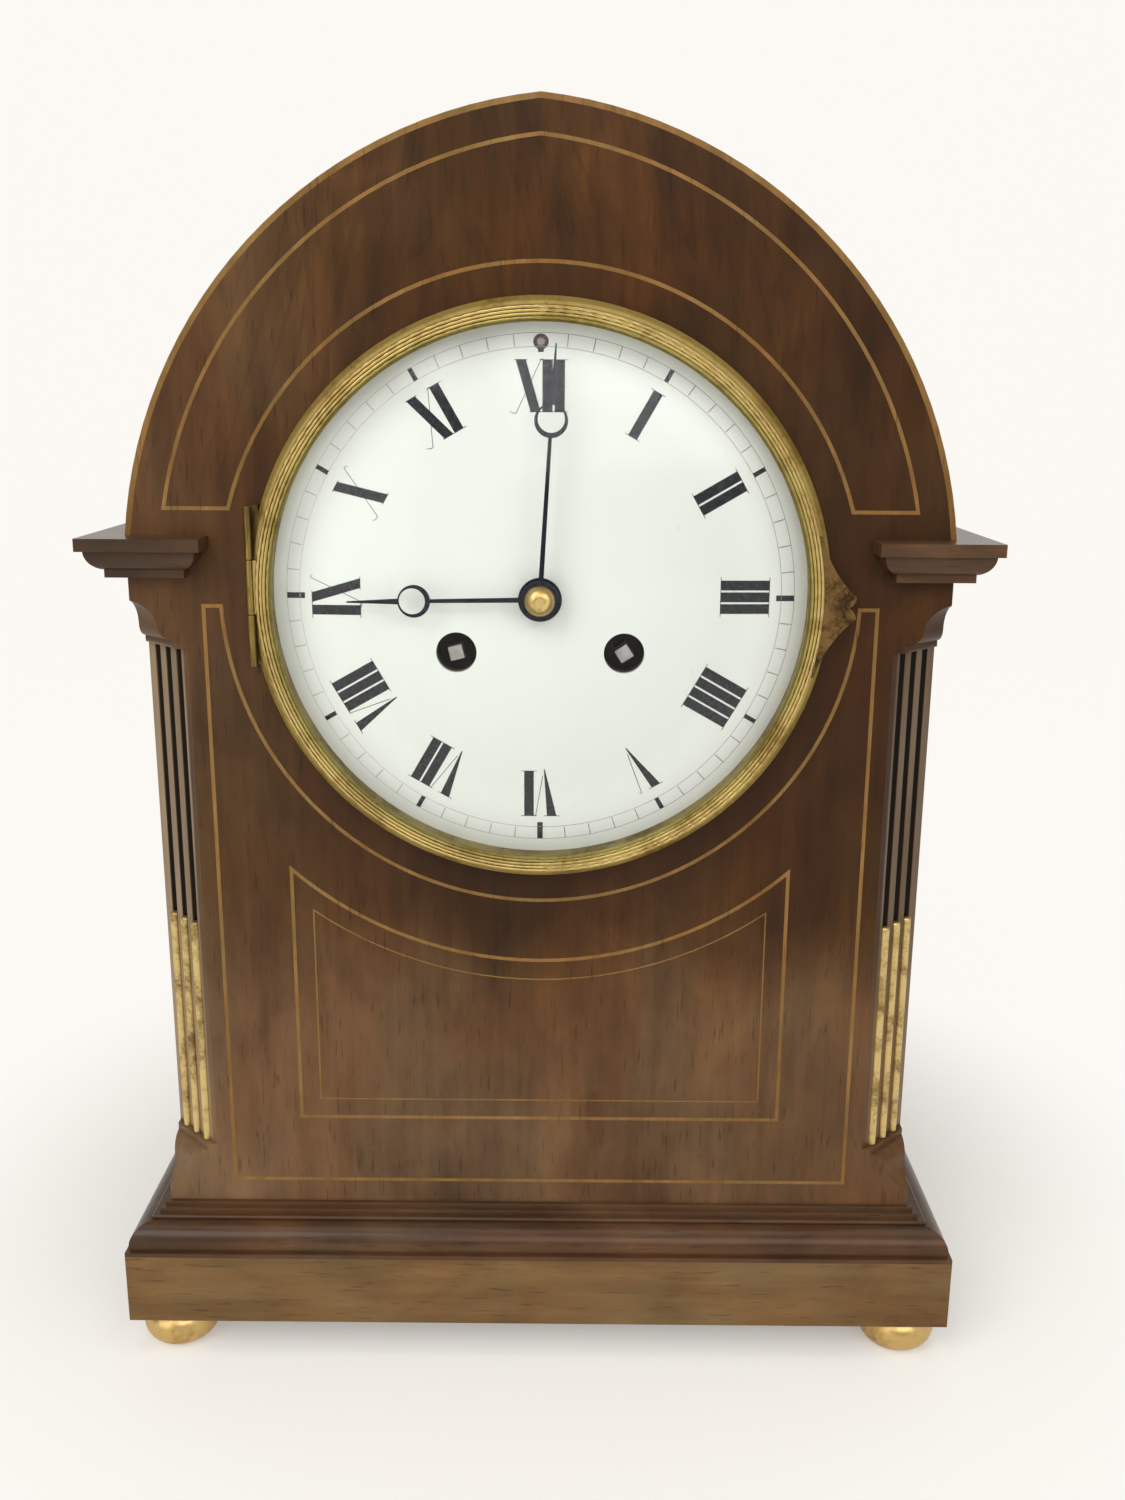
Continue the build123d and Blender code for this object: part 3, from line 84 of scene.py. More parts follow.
# The X: its width, and how far the ends of the thick bar and of the hair stroke are moved
X_W = 6.8
X_BAR_IN = (0.4, 0.2)
X_HAIR_IN = 0.3
X_HAIR_PAST = (0.4, 0.2)

# The dial's middle, edge and dome, from the frame
dial_low, dial_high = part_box("dial")
DIAL_MID = ((dial_low.x + dial_high.x) / 2, dial_low.y, (dial_low.z + dial_high.z) / 2)
DIAL_EDGE = (dial_high.x - dial_low.x) / 2
DIAL_T = 1.6 * MM
DIAL_RISE = dial_high.y - dial_low.y - DIAL_T

# The case's right front corner and the flutes' heights, from the frame, and the width of the cant
post_low, post_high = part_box("corner_post_right")
rod_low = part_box("stop_flutes")[0]
CORNER = (post_high.x, post_low.y)
CANT = 14.0 * MM
FLUTE_END = 29.0 * MM
FLUTES_Z = (rod_low.z, post_high.z - FLUTE_END)

# Depth at which the winding arbors are black with painted shade, as inside their holes in the dial
WINDING_SHADE_FROM = dial_low.y + 3.5 * MM
WINDING_SHADE_OVER = 3.0 * MM

# Radii on the bezel and its glass: the banded face, the reeds, the ring's edge and the glass's middle.
# The dial's painted rim light lies between two radii, and the dial's ink fades from right to left.
BEZEL_FACE = (66.8 * MM, 73.4 * MM)
REED_FROM = 67.2 * MM
REED_W = 0.85 * MM
REEDS_START = (67.0 * MM, 67.2 * MM)
REEDS_END = (71.0 * MM, 71.2 * MM)
RING_EDGE = (73.3 * MM, 73.6 * MM)
GLASS_MIDDLE = (6.8 * MM, 7.8 * MM)
RIM_LIGHT_R = (45.0 * MM, 66.0 * MM)
FADED_INK_X = (-60.0 * MM, 20.0 * MM)

# Places on the front where the wood's tone or figure changes
CLOUDS_X = (0.055, 0.09)
CLOUDS_Z = (0.125, 0.17)
FLAMES_Z = (0.225, 0.26)
FLAMES_MID = 0.022
# Painted reflection on the board: the heights and sides over which it makes the wood paler
REFLECTION_Z = (0.086, 0.140)
REFLECTION_LOW_X = (-0.10, -0.03)
REFLECTION_LEFT_X = (-0.10, -0.01)
# Painted shadow of the bezel: the radii over which it fades, and how far below the dial's middle it
# grows
BEZEL_SHADOW_R = (0.072, 0.106)
BEZEL_SHADOW_DROP = 0.07
# Painted shade on the right: the sides and heights over which it grows
SHADE_X = (0.02, 0.09)
SHADE_Z = (0.10, 0.14)
# Sides over which the painted sheen on the lands fades from the left
SHEEN_X = (-0.05, 0.05)

# Figure of the front: how much clouds, flames and the lines in the flames change the tone, how
# steeply the flames rise and bend, and how many lines they have and how wide these are
CLOUD_DEPTH = 0.20
FLAME_DEPTH = 0.28
FLAME_RISE = 0.32
FLAME_BEND = 0.25
FLAME_LINES = 9.0
FLAME_LINE_W = 0.10
FLAME_LINE_DEPTH = 0.05

# Depths below the canted face, and how far inside its edges the flutes lie
FLUTE_DEPTHS = (0.9 * MM, 0.15 * MM)
LAND_DEPTHS = (0.35 * MM, 0.1 * MM)
CANT_FRONT = (1.2 * MM, 2.0 * MM)
CANT_SIDE = (0.8 * MM, 1.6 * MM)
FLUTE_FADE = 1.0 * MM

# Tones of the woods, from the darkest grain to the palest
DEEP = [(0.0, (40, 24, 8)), (0.35, (59, 36, 12)), (0.65, (73, 45, 16)), (1.0, (95, 60, 22))]
# WARM: the front's tones made paler by a painted reflection
WARM = [(0.0, (68, 49, 33)), (0.35, (95, 71, 49)), (0.65, (107, 81, 57)), (1.0, (124, 95, 67))]
SIDE = [(0.0, (56, 38, 22)), (0.35, (82, 57, 33)), (0.65, (97, 68, 40)), (1.0, (118, 85, 51))]
DARK = [(0.0, (47, 32, 21)), (0.4, (68, 48, 32)), (0.7, (86, 61, 40)), (1.0, (108, 78, 52))]
FADED = [(0.0, (72, 53, 33)), (0.4, (100, 76, 47)), (0.7, (114, 88, 56)), (1.0, (132, 103, 67))]
BOX = [(0.0, (98, 73, 36)), (0.4, (117, 87, 45)), (0.7, (130, 98, 54)), (1.0, (146, 112, 66))]
HUES = [(0.0, (242, 251, 255)), (1.0, (255, 238, 222))]
PORE = (30, 18, 11)
# Painted shade on the right of the case
RIGHT_SHADE_COLOUR = (38, 21, 12)
# Painted shadow of the bezel
BEZEL_SHADOW = (40, 23, 14)
# Worn polish with a painted sheen, on the lands
WORN_POLISH_AND_SHEEN = (160, 140, 112)
# Painted shade, with some dust, in the flutes
FLUTE_SHADE_AND_DUST = (10, 7, 5)

# Shades across the bezel's face, from its inner edge to its outer one, and other colours
BEZEL_BANDS = [
    (0.0, (196, 200, 170)), (0.10, (232, 232, 212)), (0.30, (255, 253, 244)), (0.58, (250, 246, 234)),
    (0.63, (110, 104, 84)), (0.70, (235, 230, 214)), (0.80, (226, 220, 200)), (0.86, (186, 178, 150)),
    (1.0, (176, 166, 138)),
]
REED_DIRT = (66, 50, 24)
HINGE_BRASS = (84, 66, 44)
BRASS_SPECK = (58, 44, 22)
# Painted shade on the winding arbors behind the dial
WINDING_SHADE = (30, 24, 18)
ENAMEL_SHADE = (223, 228, 222)
ENAMEL = (228, 232, 227)
# Painted light that lifts the dial's rim out of the bezel's shade
ENAMEL_RIM_LIGHT = (243, 245, 241)
ENAMEL_FLAW = (196, 190, 166)
GLASS_TINT = (254, 255, 254)
GLASS_CLEAR = (255, 255, 255)
IRON_DARK = (52, 52, 54)
IRON_PALE = (74, 72, 70)
FLOOR_DARK = (240, 238, 233)
FLOOR_PALE = (244, 242, 238)
SKY = (250, 247, 242)
STUDIO_WHITE = (253, 250, 245)


def lin(colour):
    """A colour written in screen values from 0 to 255, as linear light."""
    out = []
    for value in colour:
        v = value / 255
        out.append(v / 12.92 if v <= 0.04045 else ((v + 0.055) / 1.055) ** 2.4)
    return (*out, 1.0)


class Finish:
    """A node material that is put together one node at a time."""

    def __init__(self, name):
        self.material = bpy.data.materials.new(name)
        self.material.use_nodes = True
        self.tree = self.material.node_tree
        self.tree.nodes.clear()
        self.out = self.tree.nodes.new("ShaderNodeOutputMaterial")

    def node(self, kind, props=None, **sockets):
        made = self.tree.nodes.new("ShaderNode" + kind)
        for key, value in (props or {}).items():
            setattr(made, key, value)
        for key, value in sockets.items():
            self.plug(made, key, value)
        return made

    def plug(self, made, key, value):
        """Sets or links an input, named by its words or by i and its number."""
        by_index = key[0] == "i" and key[1:].isdigit()
        socket = made.inputs[int(key[1:]) if by_index else key.replace("_", " ")]
        if isinstance(value, bpy.types.NodeSocket):
            self.tree.links.new(value, socket)
        else:
            socket.default_value = value

    def place(self):
        return self.node("TexCoord").outputs["Object"]

    def axes(self):
        """A point's X, Y and Z."""
        return self.node("SeparateXYZ", Vector=self.place()).outputs

    def stretched(self, scale=(1, 1, 1), shift=(0, 0, 0), turn=(0, 0, 0)):
        moved = self.node("Mapping", Vector=self.place(), Scale=scale, Location=shift, Rotation=turn)
        return moved.outputs[0]

    def noise(self, vector, scale, detail=3.0, rough=0.5, twist=0.0):
        made = self.node("TexNoise", Vector=vector, Scale=scale, Detail=detail, Roughness=rough)
        self.plug(made, "Distortion", twist)
        return made.outputs[0]

    def math(self, operation, one, other=0.0, clamp=False):
        made = self.node("Math", {"operation": operation, "use_clamp": clamp}, i0=one, i1=other)
        return made.outputs[0]

    def product(self, first, *others):
        for other in others:
            first = self.math("MULTIPLY", first, other)
        return first

    def total(self, *terms, start=None):
        """The sum of values times their weights, added to a start where one is given."""
        for value, weight in terms:
            share = self.math("MULTIPLY", value, weight)
            start = share if start is None else self.math("ADD", start, share)
        return start

    def span(self, value, limits, to_low=0.0, to_high=1.0):
        """A smooth step from one number to another, between two limits."""
        made = self.node("MapRange", {"interpolation_type": "SMOOTHSTEP"}, Value=value)
        made.inputs["From Min"].default_value = limits[0]
        made.inputs["From Max"].default_value = limits[1]
        made.inputs["To Min"].default_value = to_low
        made.inputs["To Max"].default_value = to_high
        return made.outputs[0]

    def ramp(self, value, stops):
        made = self.node("ValToRGB", Fac=value)
        band = made.color_ramp
        while len(band.elements) < len(stops):
            band.elements.new(0.5)
        for element, (spot, colour) in zip(band.elements, stops):
            element.position = spot
            element.color = lin(colour)
        return made.outputs[0]

    def mix(self, share, one, other, blend="MIX"):
        made = self.node("Mix", {"data_type": "RGBA", "blend_type": blend}, i0=share, i6=one, i7=other)
        return made.outputs[2]

    def vector(self, operation, one, other=(0, 0, 0)):
        return self.node("VectorMath", {"operation": operation}, i0=one, i1=other)

    def turned_to(self, vector, start, end):
        """A normal given in the world's or the object's frame, in the other one."""
        kinds = {"vector_type": "NORMAL", "convert_from": start, "convert_to": end}
        return self.node("VectorTransform", kinds, Vector=vector).outputs[0]

    def blend(self, share, one, other):
        return self.node("Mix", {"data_type": "VECTOR"}, i0=share, i4=one, i5=other).outputs[1]

    def bump(self, height, strength, depth, normal=None):
        made = self.node("Bump", Height=height, Strength=strength, Distance=depth)
        if normal:
            self.plug(made, "Normal", normal)
        return made.outputs[0]

    def off_axis(self):
        """The way from the dial's axis to a point."""
        flat = self.vector("MULTIPLY", self.place(), (1, 0, 1)).outputs[0]
        return self.vector("SUBTRACT", flat, (DIAL_MID[0], 0, DIAL_MID[2])).outputs[0]

    def from_axis(self):
        """Distance of a point from the dial's axis."""
        return self.vector("LENGTH", self.off_axis()).outputs["Value"]

    def lathe_normal(self):
        """Normal of a turned ring: the facets' own across the section, and even all the way round."""
        facet = self.turned_to(self.node("NewGeometry").outputs["True Normal"], "WORLD", "OBJECT")
        out = self.vector("NORMALIZE", self.off_axis()).outputs[0]
        rise = self.vector("DOT_PRODUCT", facet, out).outputs["Value"]
        rises = self.node("CombineXYZ", X=rise, Y=rise, Z=rise).outputs[0]
        sideways = self.vector("MULTIPLY", out, rises).outputs[0]
        ahead = self.vector("MULTIPLY", facet, (0, 1, 0)).outputs[0]
        even = self.vector("NORMALIZE", self.vector("ADD", sideways, ahead).outputs[0]).outputs[0]
        return self.turned_to(even, "OBJECT", "WORLD")

    def surface(self, shader):
        self.tree.links.new(shader, self.out.inputs[0])
        return self.material

    def principled(self, **sockets):
        return self.surface(self.node("BsdfPrincipled", **sockets).outputs[0])


def wood(
    name, tones, along="Z", bands=30.0, streaks=260.0, coat=0.06, rough=0.36, shift=(0, 0, 0), **extra
):
    """Polished wood: bands, blotches, fine streaks, a drift of hue and short pores along the grain.

    Extras: light (tones, share) for a part made paler by painted reflection, figure for the grain, and
    a list of (share, colour) marks: stains, wear and dust, and painted shade, shadow and sheen.
    """
    f = Finish(name)
    long_way = {"X": 0, "Y": 1, "Z": 2}[along]

    def grain(squeeze, scale, **settings):
        """Noise that is drawn out along the grain, the more so the smaller the squeeze is."""
        stretch = tuple(squeeze if axis == long_way else 1.0 for axis in range(3))
        return f.noise(f.stretched(stretch, shift), scale=scale, **settings)

    broad = grain(squeeze=0.16, scale=bands, detail=3.0, rough=0.5, twist=0.9)
    fine = grain(squeeze=0.09, scale=streaks, detail=3.0, rough=0.6, twist=0.3)
    blotch = grain(squeeze=0.6, scale=bands * 1.5, detail=4.0, rough=0.56, twist=0.8)
    value = f.total((broad, 0.36), (fine, 0.28), (blotch, 0.42))
    if "figure" in extra:
        value = extra["figure"](f, value)
    value = f.span(value, (0.25, 0.81))
    colour = f.ramp(value, tones)
    # A paler copy of the tones where a painted reflection lies
    if "light" in extra:
        pale, share = extra["light"]
        colour = f.mix(share(f), colour, f.ramp(value, pale))
    drift = grain(squeeze=0.55, scale=bands * 0.9, detail=4.0, rough=0.6, twist=0.8)
    colour = f.mix(0.7, colour, f.ramp(f.span(drift, (0.36, 0.64)), HUES), "MULTIPLY")
    pores = f.span(grain(squeeze=0.08, scale=1500.0, detail=2.0, rough=0.5), (0.60, 0.74))
    colour = f.mix(f.math("MULTIPLY", pores, 0.42), colour, lin(PORE))
    # Stains, and painted shade, shadow and sheen
    for share, stain_or_shade in extra.get("stains_and_shade", ()):
        colour = f.mix(share(f), colour, lin(stain_or_shade))
    gloss = f.total((fine, 0.12), start=rough)
    normal = f.bump(pores, strength=0.1, depth=-0.05 * MM)
    return f.principled(
        Base_Color=colour, Roughness=gloss, Normal=normal,
        Coat_Weight=coat, Coat_Roughness=0.18, Specular_IOR_Level=0.10,
    )


def front_figure(f, value):
    """Figured veneer: clouds in the board below the dial, and pointed flames in the arch above it."""
    side, _, height = f.axes()
    middle = f.span(f.math("ABSOLUTE", side), CLOUDS_X, to_low=1.0, to_high=0.0)
    low = f.math("MULTIPLY", middle, f.span(height, CLOUDS_Z, to_low=1.0, to_high=0.0))
    leaning = f.stretched((1.0, 1.0, 0.8), (0.31, 0, 0.12), (0, 0.5, 0))
    drift = f.noise(leaning, scale=62.0, detail=6.0, rough=0.64, twist=0.9)
    cloud = f.math("MULTIPLY", f.math("SUBTRACT", drift, 0.5), CLOUD_DEPTH)
    value = f.math("ADD", value, f.math("MULTIPLY", low, cloud))
    bent = f.math("ABSOLUTE", f.math("ADD", side, FLAMES_MID))
    flame = f.total((height, FLAME_RISE), start=bent)
    along = f.node("CombineXYZ", X=flame, Y=f.math("MULTIPLY", side, FLAME_BEND), Z=0.0).outputs[0]
    field = f.noise(along, scale=85.0, detail=2.0, rough=0.45, twist=0.5)
    wedge = f.math("MULTIPLY", f.math("SUBTRACT", field, 0.5), FLAME_DEPTH)
    turns = f.math("FRACT", f.math("MULTIPLY", field, FLAME_LINES))
    rings = f.math("ABSOLUTE", f.math("SUBTRACT", turns, 0.5))
    dark_line = f.span(rings, (0.0, FLAME_LINE_W), to_low=FLAME_LINE_DEPTH, to_high=0.0)
    wedge = f.math("SUBTRACT", wedge, dark_line)
    return f.math("ADD", value, f.math("MULTIPLY", f.span(height, FLAMES_Z), wedge))


def painted_front_reflection(f):
    """Painted reflection: the board is paler low down and on the left, with random patches."""
    side, _, height = f.axes()
    low = f.span(height, REFLECTION_Z, to_low=0.66, to_high=0.0)
    low = f.math("MULTIPLY", low, f.span(side, REFLECTION_LOW_X, to_low=1.5, to_high=1.0))
    left = f.span(side, REFLECTION_LEFT_X, to_low=0.33, to_high=0.0)
    drift = f.noise(f.stretched(shift=(0.2, 0.0, 0.5)), scale=14.0)
    patch = f.span(drift, (0.3, 0.7), to_low=-0.14, to_high=0.14)
    return f.math("ADD", f.math("ADD", low, left), patch, clamp=True)


def painted_bezel_shadow(f):
    """Painted shadow of the bezel on the wood round it, mostly below it."""
    close = f.span(f.from_axis(), BEZEL_SHADOW_R, to_low=0.6, to_high=0.0)
    below = f.span(f.axes()[2], (DIAL_MID[2] - BEZEL_SHADOW_DROP, DIAL_MID[2]), to_low=1.0, to_high=0.35)
    return f.math("MULTIPLY", close, below)


def painted_right_shade(f):
    """Painted shade that makes the right of the case darker."""
    side, _, height = f.axes()
    return f.math("MULTIPLY", f.span(side, SHADE_X, to_low=0.0, to_high=0.42), f.span(height, SHADE_Z))


def canted(f):
    """How far out a point lies, a share that is one within the flutes, and the canted face's reach."""
    across, depth, height = f.axes()
    side = f.math("ABSOLUTE", across)
    out = f.math("SUBTRACT", side, depth)
    start = CORNER[0] - CANT
    low = f.span(height, (FLUTES_Z[0], FLUTES_Z[0] + FLUTE_FADE))
    high = f.span(height, (FLUTES_Z[1], FLUTES_Z[1] + FLUTE_FADE), to_low=1.0, to_high=0.0)
    ahead = f.span(depth, (CORNER[1] + CANT_FRONT[0], CORNER[1] + CANT_FRONT[1]))
    beside = f.span(side, (start + CANT_SIDE[0], start + CANT_SIDE[1]))
    return out, f.product(low, high, ahead, beside), start - CORNER[1]


def flute_shade_and_dust(f):
    """Painted shade in the corner flutes, below the canted face, with some dust."""
    out, inside, face = canted(f)
    deep = f.span(out, (face - FLUTE_DEPTHS[0], face - FLUTE_DEPTHS[1]), to_low=0.97, to_high=0.0)
    return f.math("MULTIPLY", deep, inside)


def on_lands(f):
    """Worn, paler polish on the lands between the flutes, with a painted sheen that is stronger on the
    left.
    """
    out, inside, face = canted(f)
    rubbed = f.noise(f.stretched((1, 1, 0.15), (0.3, 0.1, 0.7)), scale=90.0)
    wear = f.span(rubbed, (0.3, 0.7), to_low=0.35, to_high=0.7)
    land = f.span(out, (face - LAND_DEPTHS[0], face - LAND_DEPTHS[1]))
    # Painted sheen: the lands are paler on the left
    left = f.span(f.axes()[0], SHEEN_X, to_low=1.0, to_high=0.55)
    return f.product(land, wear, left, inside)


def bezel_face(f, colour, patch):
    """Colour and normal of the bezel: its bands, dirt between the reeds and a darker hinge."""
    radius = f.from_axis()
    colour = f.mix(1.0, colour, f.ramp(f.span(radius, BEZEL_FACE), BEZEL_BANDS), "MULTIPLY")
    turns = f.math("FRACT", f.math("DIVIDE", f.math("SUBTRACT", radius, REED_FROM), REED_W))
    groove = f.span(f.math("ABSOLUTE", f.math("SUBTRACT", turns, 0.5)), (0.34, 0.5))
    within = f.span(radius, REEDS_END, to_low=1.0, to_high=0.0)
    reeded = f.math("MULTIPLY", within, f.span(radius, REEDS_START))
    dirt = f.math("MULTIPLY", groove, f.span(patch, (0.35, 0.62), to_low=0.3, to_high=0.65))
    colour = f.mix(f.math("MULTIPLY", dirt, reeded), colour, lin(REED_DIRT))
    beyond = f.span(radius, RING_EDGE)
    colour = f.mix(f.math("MULTIPLY", beyond, 0.55), colour, lin(HINGE_BRASS))
    return colour, f.blend(beyond, f.lathe_normal(), f.node("NewGeometry").outputs["Normal"])


def brass(name, bright, dull, spots=60.0, rough=0.3, brush=(1, 1, 1), face=None):
    """Aged brass: patches of tarnish over a bright metal, brushed along a direction."""
    f = Finish(name)
    patch = f.noise(f.stretched(shift=(0.2, 0.1, 0.4)), scale=spots, detail=5.0, rough=0.62, twist=0.5)
    grime = f.noise(f.stretched(shift=(0.7, 0.3, 0.2)), scale=spots * 9, detail=3.0, rough=0.6)
    share = f.span(f.total((patch, 0.75), (grime, 0.25)), (0.42, 0.66))
    colour = f.mix(share, lin(bright), lin(dull))
    facing = None
    if face:
        colour, facing = face(f, colour, patch)
    speck = f.span(grime, (0.66, 0.76))
    colour = f.mix(f.math("MULTIPLY", speck, 0.5), colour, lin(BRASS_SPECK))
    scratch = f.noise(f.stretched(brush), scale=900.0, detail=2.0)
    gloss = f.total((share, 0.22), (scratch, 0.1), start=rough)
    normal = f.bump(scratch, strength=0.06, depth=0.04 * MM, normal=facing)
    return f.principled(Base_Color=colour, Metallic=0.94, Roughness=gloss, Normal=normal)


def steel(name, bright, dark, metallic=0.9, rough=0.3, shaded_behind=False):
    """Steel with cloudy patches and fine scratches; some is black behind the dial with painted shade,
    as in the winding holes.
    """
    f = Finish(name)
    patch = f.noise(f.stretched(shift=(0.5, 0.2, 0.9)), scale=160.0, detail=4.0, rough=0.6)
    colour = f.mix(f.span(patch, (0.35, 0.7)), lin(bright), lin(dark))
    if shaded_behind:
        # Painted shade: black inside the winding holes
        behind = f.span(f.axes()[1], (WINDING_SHADE_FROM, WINDING_SHADE_FROM + WINDING_SHADE_OVER))
        colour = f.mix(behind, colour, lin(WINDING_SHADE))
    scratch = f.noise(f.stretched((1.0, 0.1, 0.1)), scale=2200.0, detail=2.0)
    gloss = f.total((scratch, 0.14), start=rough)
    normal = f.bump(scratch, strength=0.05, depth=0.03 * MM)
    return f.principled(Base_Color=colour, Metallic=metallic, Roughness=gloss, Normal=normal)


def enamel(name):
    """White enamel, painted lighter to the rim against the bezel's shade, with small flaws and a slight
    wave.
    """
    f = Finish(name)
    drift = f.noise(f.stretched(shift=(0.4, 0.4, 0.1)), scale=26.0)
    colour = f.mix(drift, lin(ENAMEL_SHADE), lin(ENAMEL))
    # Painted light: whiter to the rim
    colour = f.mix(f.span(f.from_axis(), RIM_LIGHT_R), colour, lin(ENAMEL_RIM_LIGHT))
    flaw = f.span(f.noise(f.stretched(shift=(0.9, 0.2, 0.3)), scale=420.0, detail=2.0), (0.74, 0.80))
    colour = f.mix(f.math("MULTIPLY", flaw, 0.25), colour, lin(ENAMEL_FLAW))
    wave = f.noise(f.stretched(), scale=90.0, detail=2.0)
    return f.principled(
        Base_Color=colour, Roughness=f.total((drift, 0.06), start=0.16),
        Normal=f.bump(wave, strength=0.04, depth=0.08 * MM), Specular_IOR_Level=0.3,
    )


def ink(name, dark, worn, fade=0.0):
    """Fired ink, worn in places and faded to the left by a share."""
    f = Finish(name)
    wear = f.noise(f.stretched(), scale=700.0, detail=3.0, rough=0.6)
    colour = f.mix(f.span(wear, (0.3, 0.75)), lin(dark), lin(worn))
    if fade:
        colour = f.mix(f.span(f.axes()[0], FADED_INK_X, to_low=fade, to_high=0.1), colour, lin(ENAMEL))
    return f.principled(Base_Color=colour, Roughness=f.total((wear, 0.1), start=0.22))


def clear_glass(name):
    """Thin clear glass with a slight ripple, and flat facets at its middle."""
    f = Finish(name)
    ripple = f.noise(f.stretched(shift=(0.1, 0.6, 0.2)), scale=18.0, detail=2.0)
    shape = f.node("NewGeometry")
    middle = f.span(f.from_axis(), GLASS_MIDDLE, to_low=1.0, to_high=0.0)
    facing = f.blend(middle, shape.outputs["Normal"], shape.outputs["True Normal"])
    normal = f.bump(ripple, strength=0.02, depth=0.6 * MM, normal=facing)
    tint = f.mix(ripple, lin(GLASS_TINT), lin(GLASS_CLEAR))
    through = f.node("BsdfTransparent", Color=tint).outputs[0]
    mirror = f.node("BsdfGlossy", Color=(1, 1, 1, 1), Roughness=0.13, Normal=normal).outputs[0]
    edge = f.node("Fresnel", IOR=1.24, Normal=normal).outputs[0]
    return f.surface(f.node("MixShader", i0=edge, i1=through, i2=mirror).outputs[0])


def paint_iron(name):
    """Cast iron under rough dark paint."""
    f = Finish(name)
    grit = f.noise(f.stretched(), scale=900.0, detail=4.0, rough=0.6)
    colour = f.mix(grit, lin(IRON_DARK), lin(IRON_PALE))
    return f.principled(
        Base_Color=colour, Metallic=0.4, Roughness=f.total((grit, 0.2), start=0.5),
        Normal=f.bump(grit, strength=0.3, depth=0.3 * MM),
    )


SHADED_RIGHT = (painted_right_shade, RIGHT_SHADE_COLOUR)
WOODS = {
    "mahogany_front": dict(
        tones=DEEP, light=(WARM, painted_front_reflection), figure=front_figure,
        stains_and_shade=[SHADED_RIGHT, (painted_bezel_shadow, BEZEL_SHADOW)],
    ),
    "mahogany_post": dict(
        tones=DEEP, light=(WARM, painted_front_reflection),
        stains_and_shade=[SHADED_RIGHT, (on_lands, WORN_POLISH_AND_SHEEN), (flute_shade_and_dust, FLUTE_SHADE_AND_DUST)],
    ),
    "mahogany_side": dict(tones=SIDE, shift=(0.4, 0.3, 0.1)),
    "mahogany_roof": dict(tones=DEEP, along="Y", shift=(0.1, 0.5, 0.2)),
    "mahogany_back": dict(tones=SIDE, coat=0.04, rough=0.5, shift=(0.6, 0.2, 0.2)),
    "mahogany_moulding": dict(tones=DARK, along="X", shift=(0.3, 0.7, 0.1), rough=0.27, coat=0.22),
    "mahogany_plinth": dict(tones=FADED, along="X", shift=(0.8, 0.1, 0.6)),
    "boxwood": dict(tones=BOX, bands=60.0, streaks=420.0, coat=0.1),
}
BRASSES = {
    "brass_rod": dict(
        bright=(212, 186, 124), dull=(132, 106, 62), spots=120.0, rough=0.34, brush=(1, 1, 0.05)
    ),
    "brass_foot": dict(bright=(204, 172, 110), dull=(168, 134, 78), rough=0.27),
    "brass_bezel": dict(
        bright=(200, 178, 118), dull=(160, 134, 80), spots=75.0, rough=0.32, face=bezel_face
    ),
    "brass_rear": dict(bright=(204, 174, 108), dull=(180, 149, 88), spots=26.0, rough=0.32),
    "brass_collet": dict(bright=(232, 202, 130), dull=(186, 150, 88), spots=150.0, rough=0.26),
    "brass_movement": dict(bright=(226, 198, 126), dull=(200, 169, 100), spots=30.0, brush=(1, 1, 0.1)),
    "brass_bob": dict(bright=(222, 190, 114), dull=(170, 136, 74), spots=45.0, rough=0.26),
    "brass_worn": dict(bright=(134, 104, 62), dull=(58, 42, 25), spots=150.0, rough=0.26),
    "copper_plate": dict(bright=(112, 82, 60), dull=(66, 50, 40), spots=50.0, rough=0.46),
}
STEELS = {
    "blued_steel": dict(bright=(30, 32, 48), dark=(14, 14, 22), metallic=0.7),
    "steel_work": dict(bright=(172, 168, 166), dark=(112, 108, 104), metallic=0.95, rough=0.28),
    "gong_steel": dict(bright=(46, 52, 78), dark=(26, 28, 40), metallic=0.85, rough=0.26),
    "regulator_steel": dict(bright=(186, 180, 172), dark=(120, 110, 100)),
    "oily_steel": dict(
        bright=(190, 186, 184), dark=(132, 128, 124), metallic=0.95, rough=0.28, shaded_behind=True
    ),
}
OWN_FINISHES = {
    "regulator_arbor": "regulator_steel",
    "going_winding_arbor": "oily_steel",
    "strike_winding_arbor": "oily_steel",
    "bezel_catch_tab": "brass_worn",
}

finishes = {
    "glass": clear_glass("glass"),
    "enamel": enamel("enamel"),
    "iron_block": paint_iron("iron_block"),
}
for make, table in ((wood, WOODS), (brass, BRASSES), (steel, STEELS)):
    for name, looks in table.items():
        finishes[name] = make(name, **looks)
for part in frame["record"]["subparts"]:
    solid = nodes[part["node"]]
    finish = OWN_FINISHES.get(part["node"], part["material_slot"])
    solid.data.materials.clear()
    solid.data.materials.append(finishes[finish])


def dial_point(across, out, hour):
    """A point of the dial's domed face, given across and out along the radius at an hour."""
    turn = radians(30 * hour)
    x = across * cos(turn) + out * sin(turn)
    z = out * cos(turn) - across * sin(turn)
    share = (x * x + z * z) * MM * MM / DIAL_EDGE**2
    y = DIAL_MID[1] + DIAL_RISE * share - PRINT_LIFT * MM
    return (DIAL_MID[0] + x * MM, y, DIAL_MID[2] + z * MM)


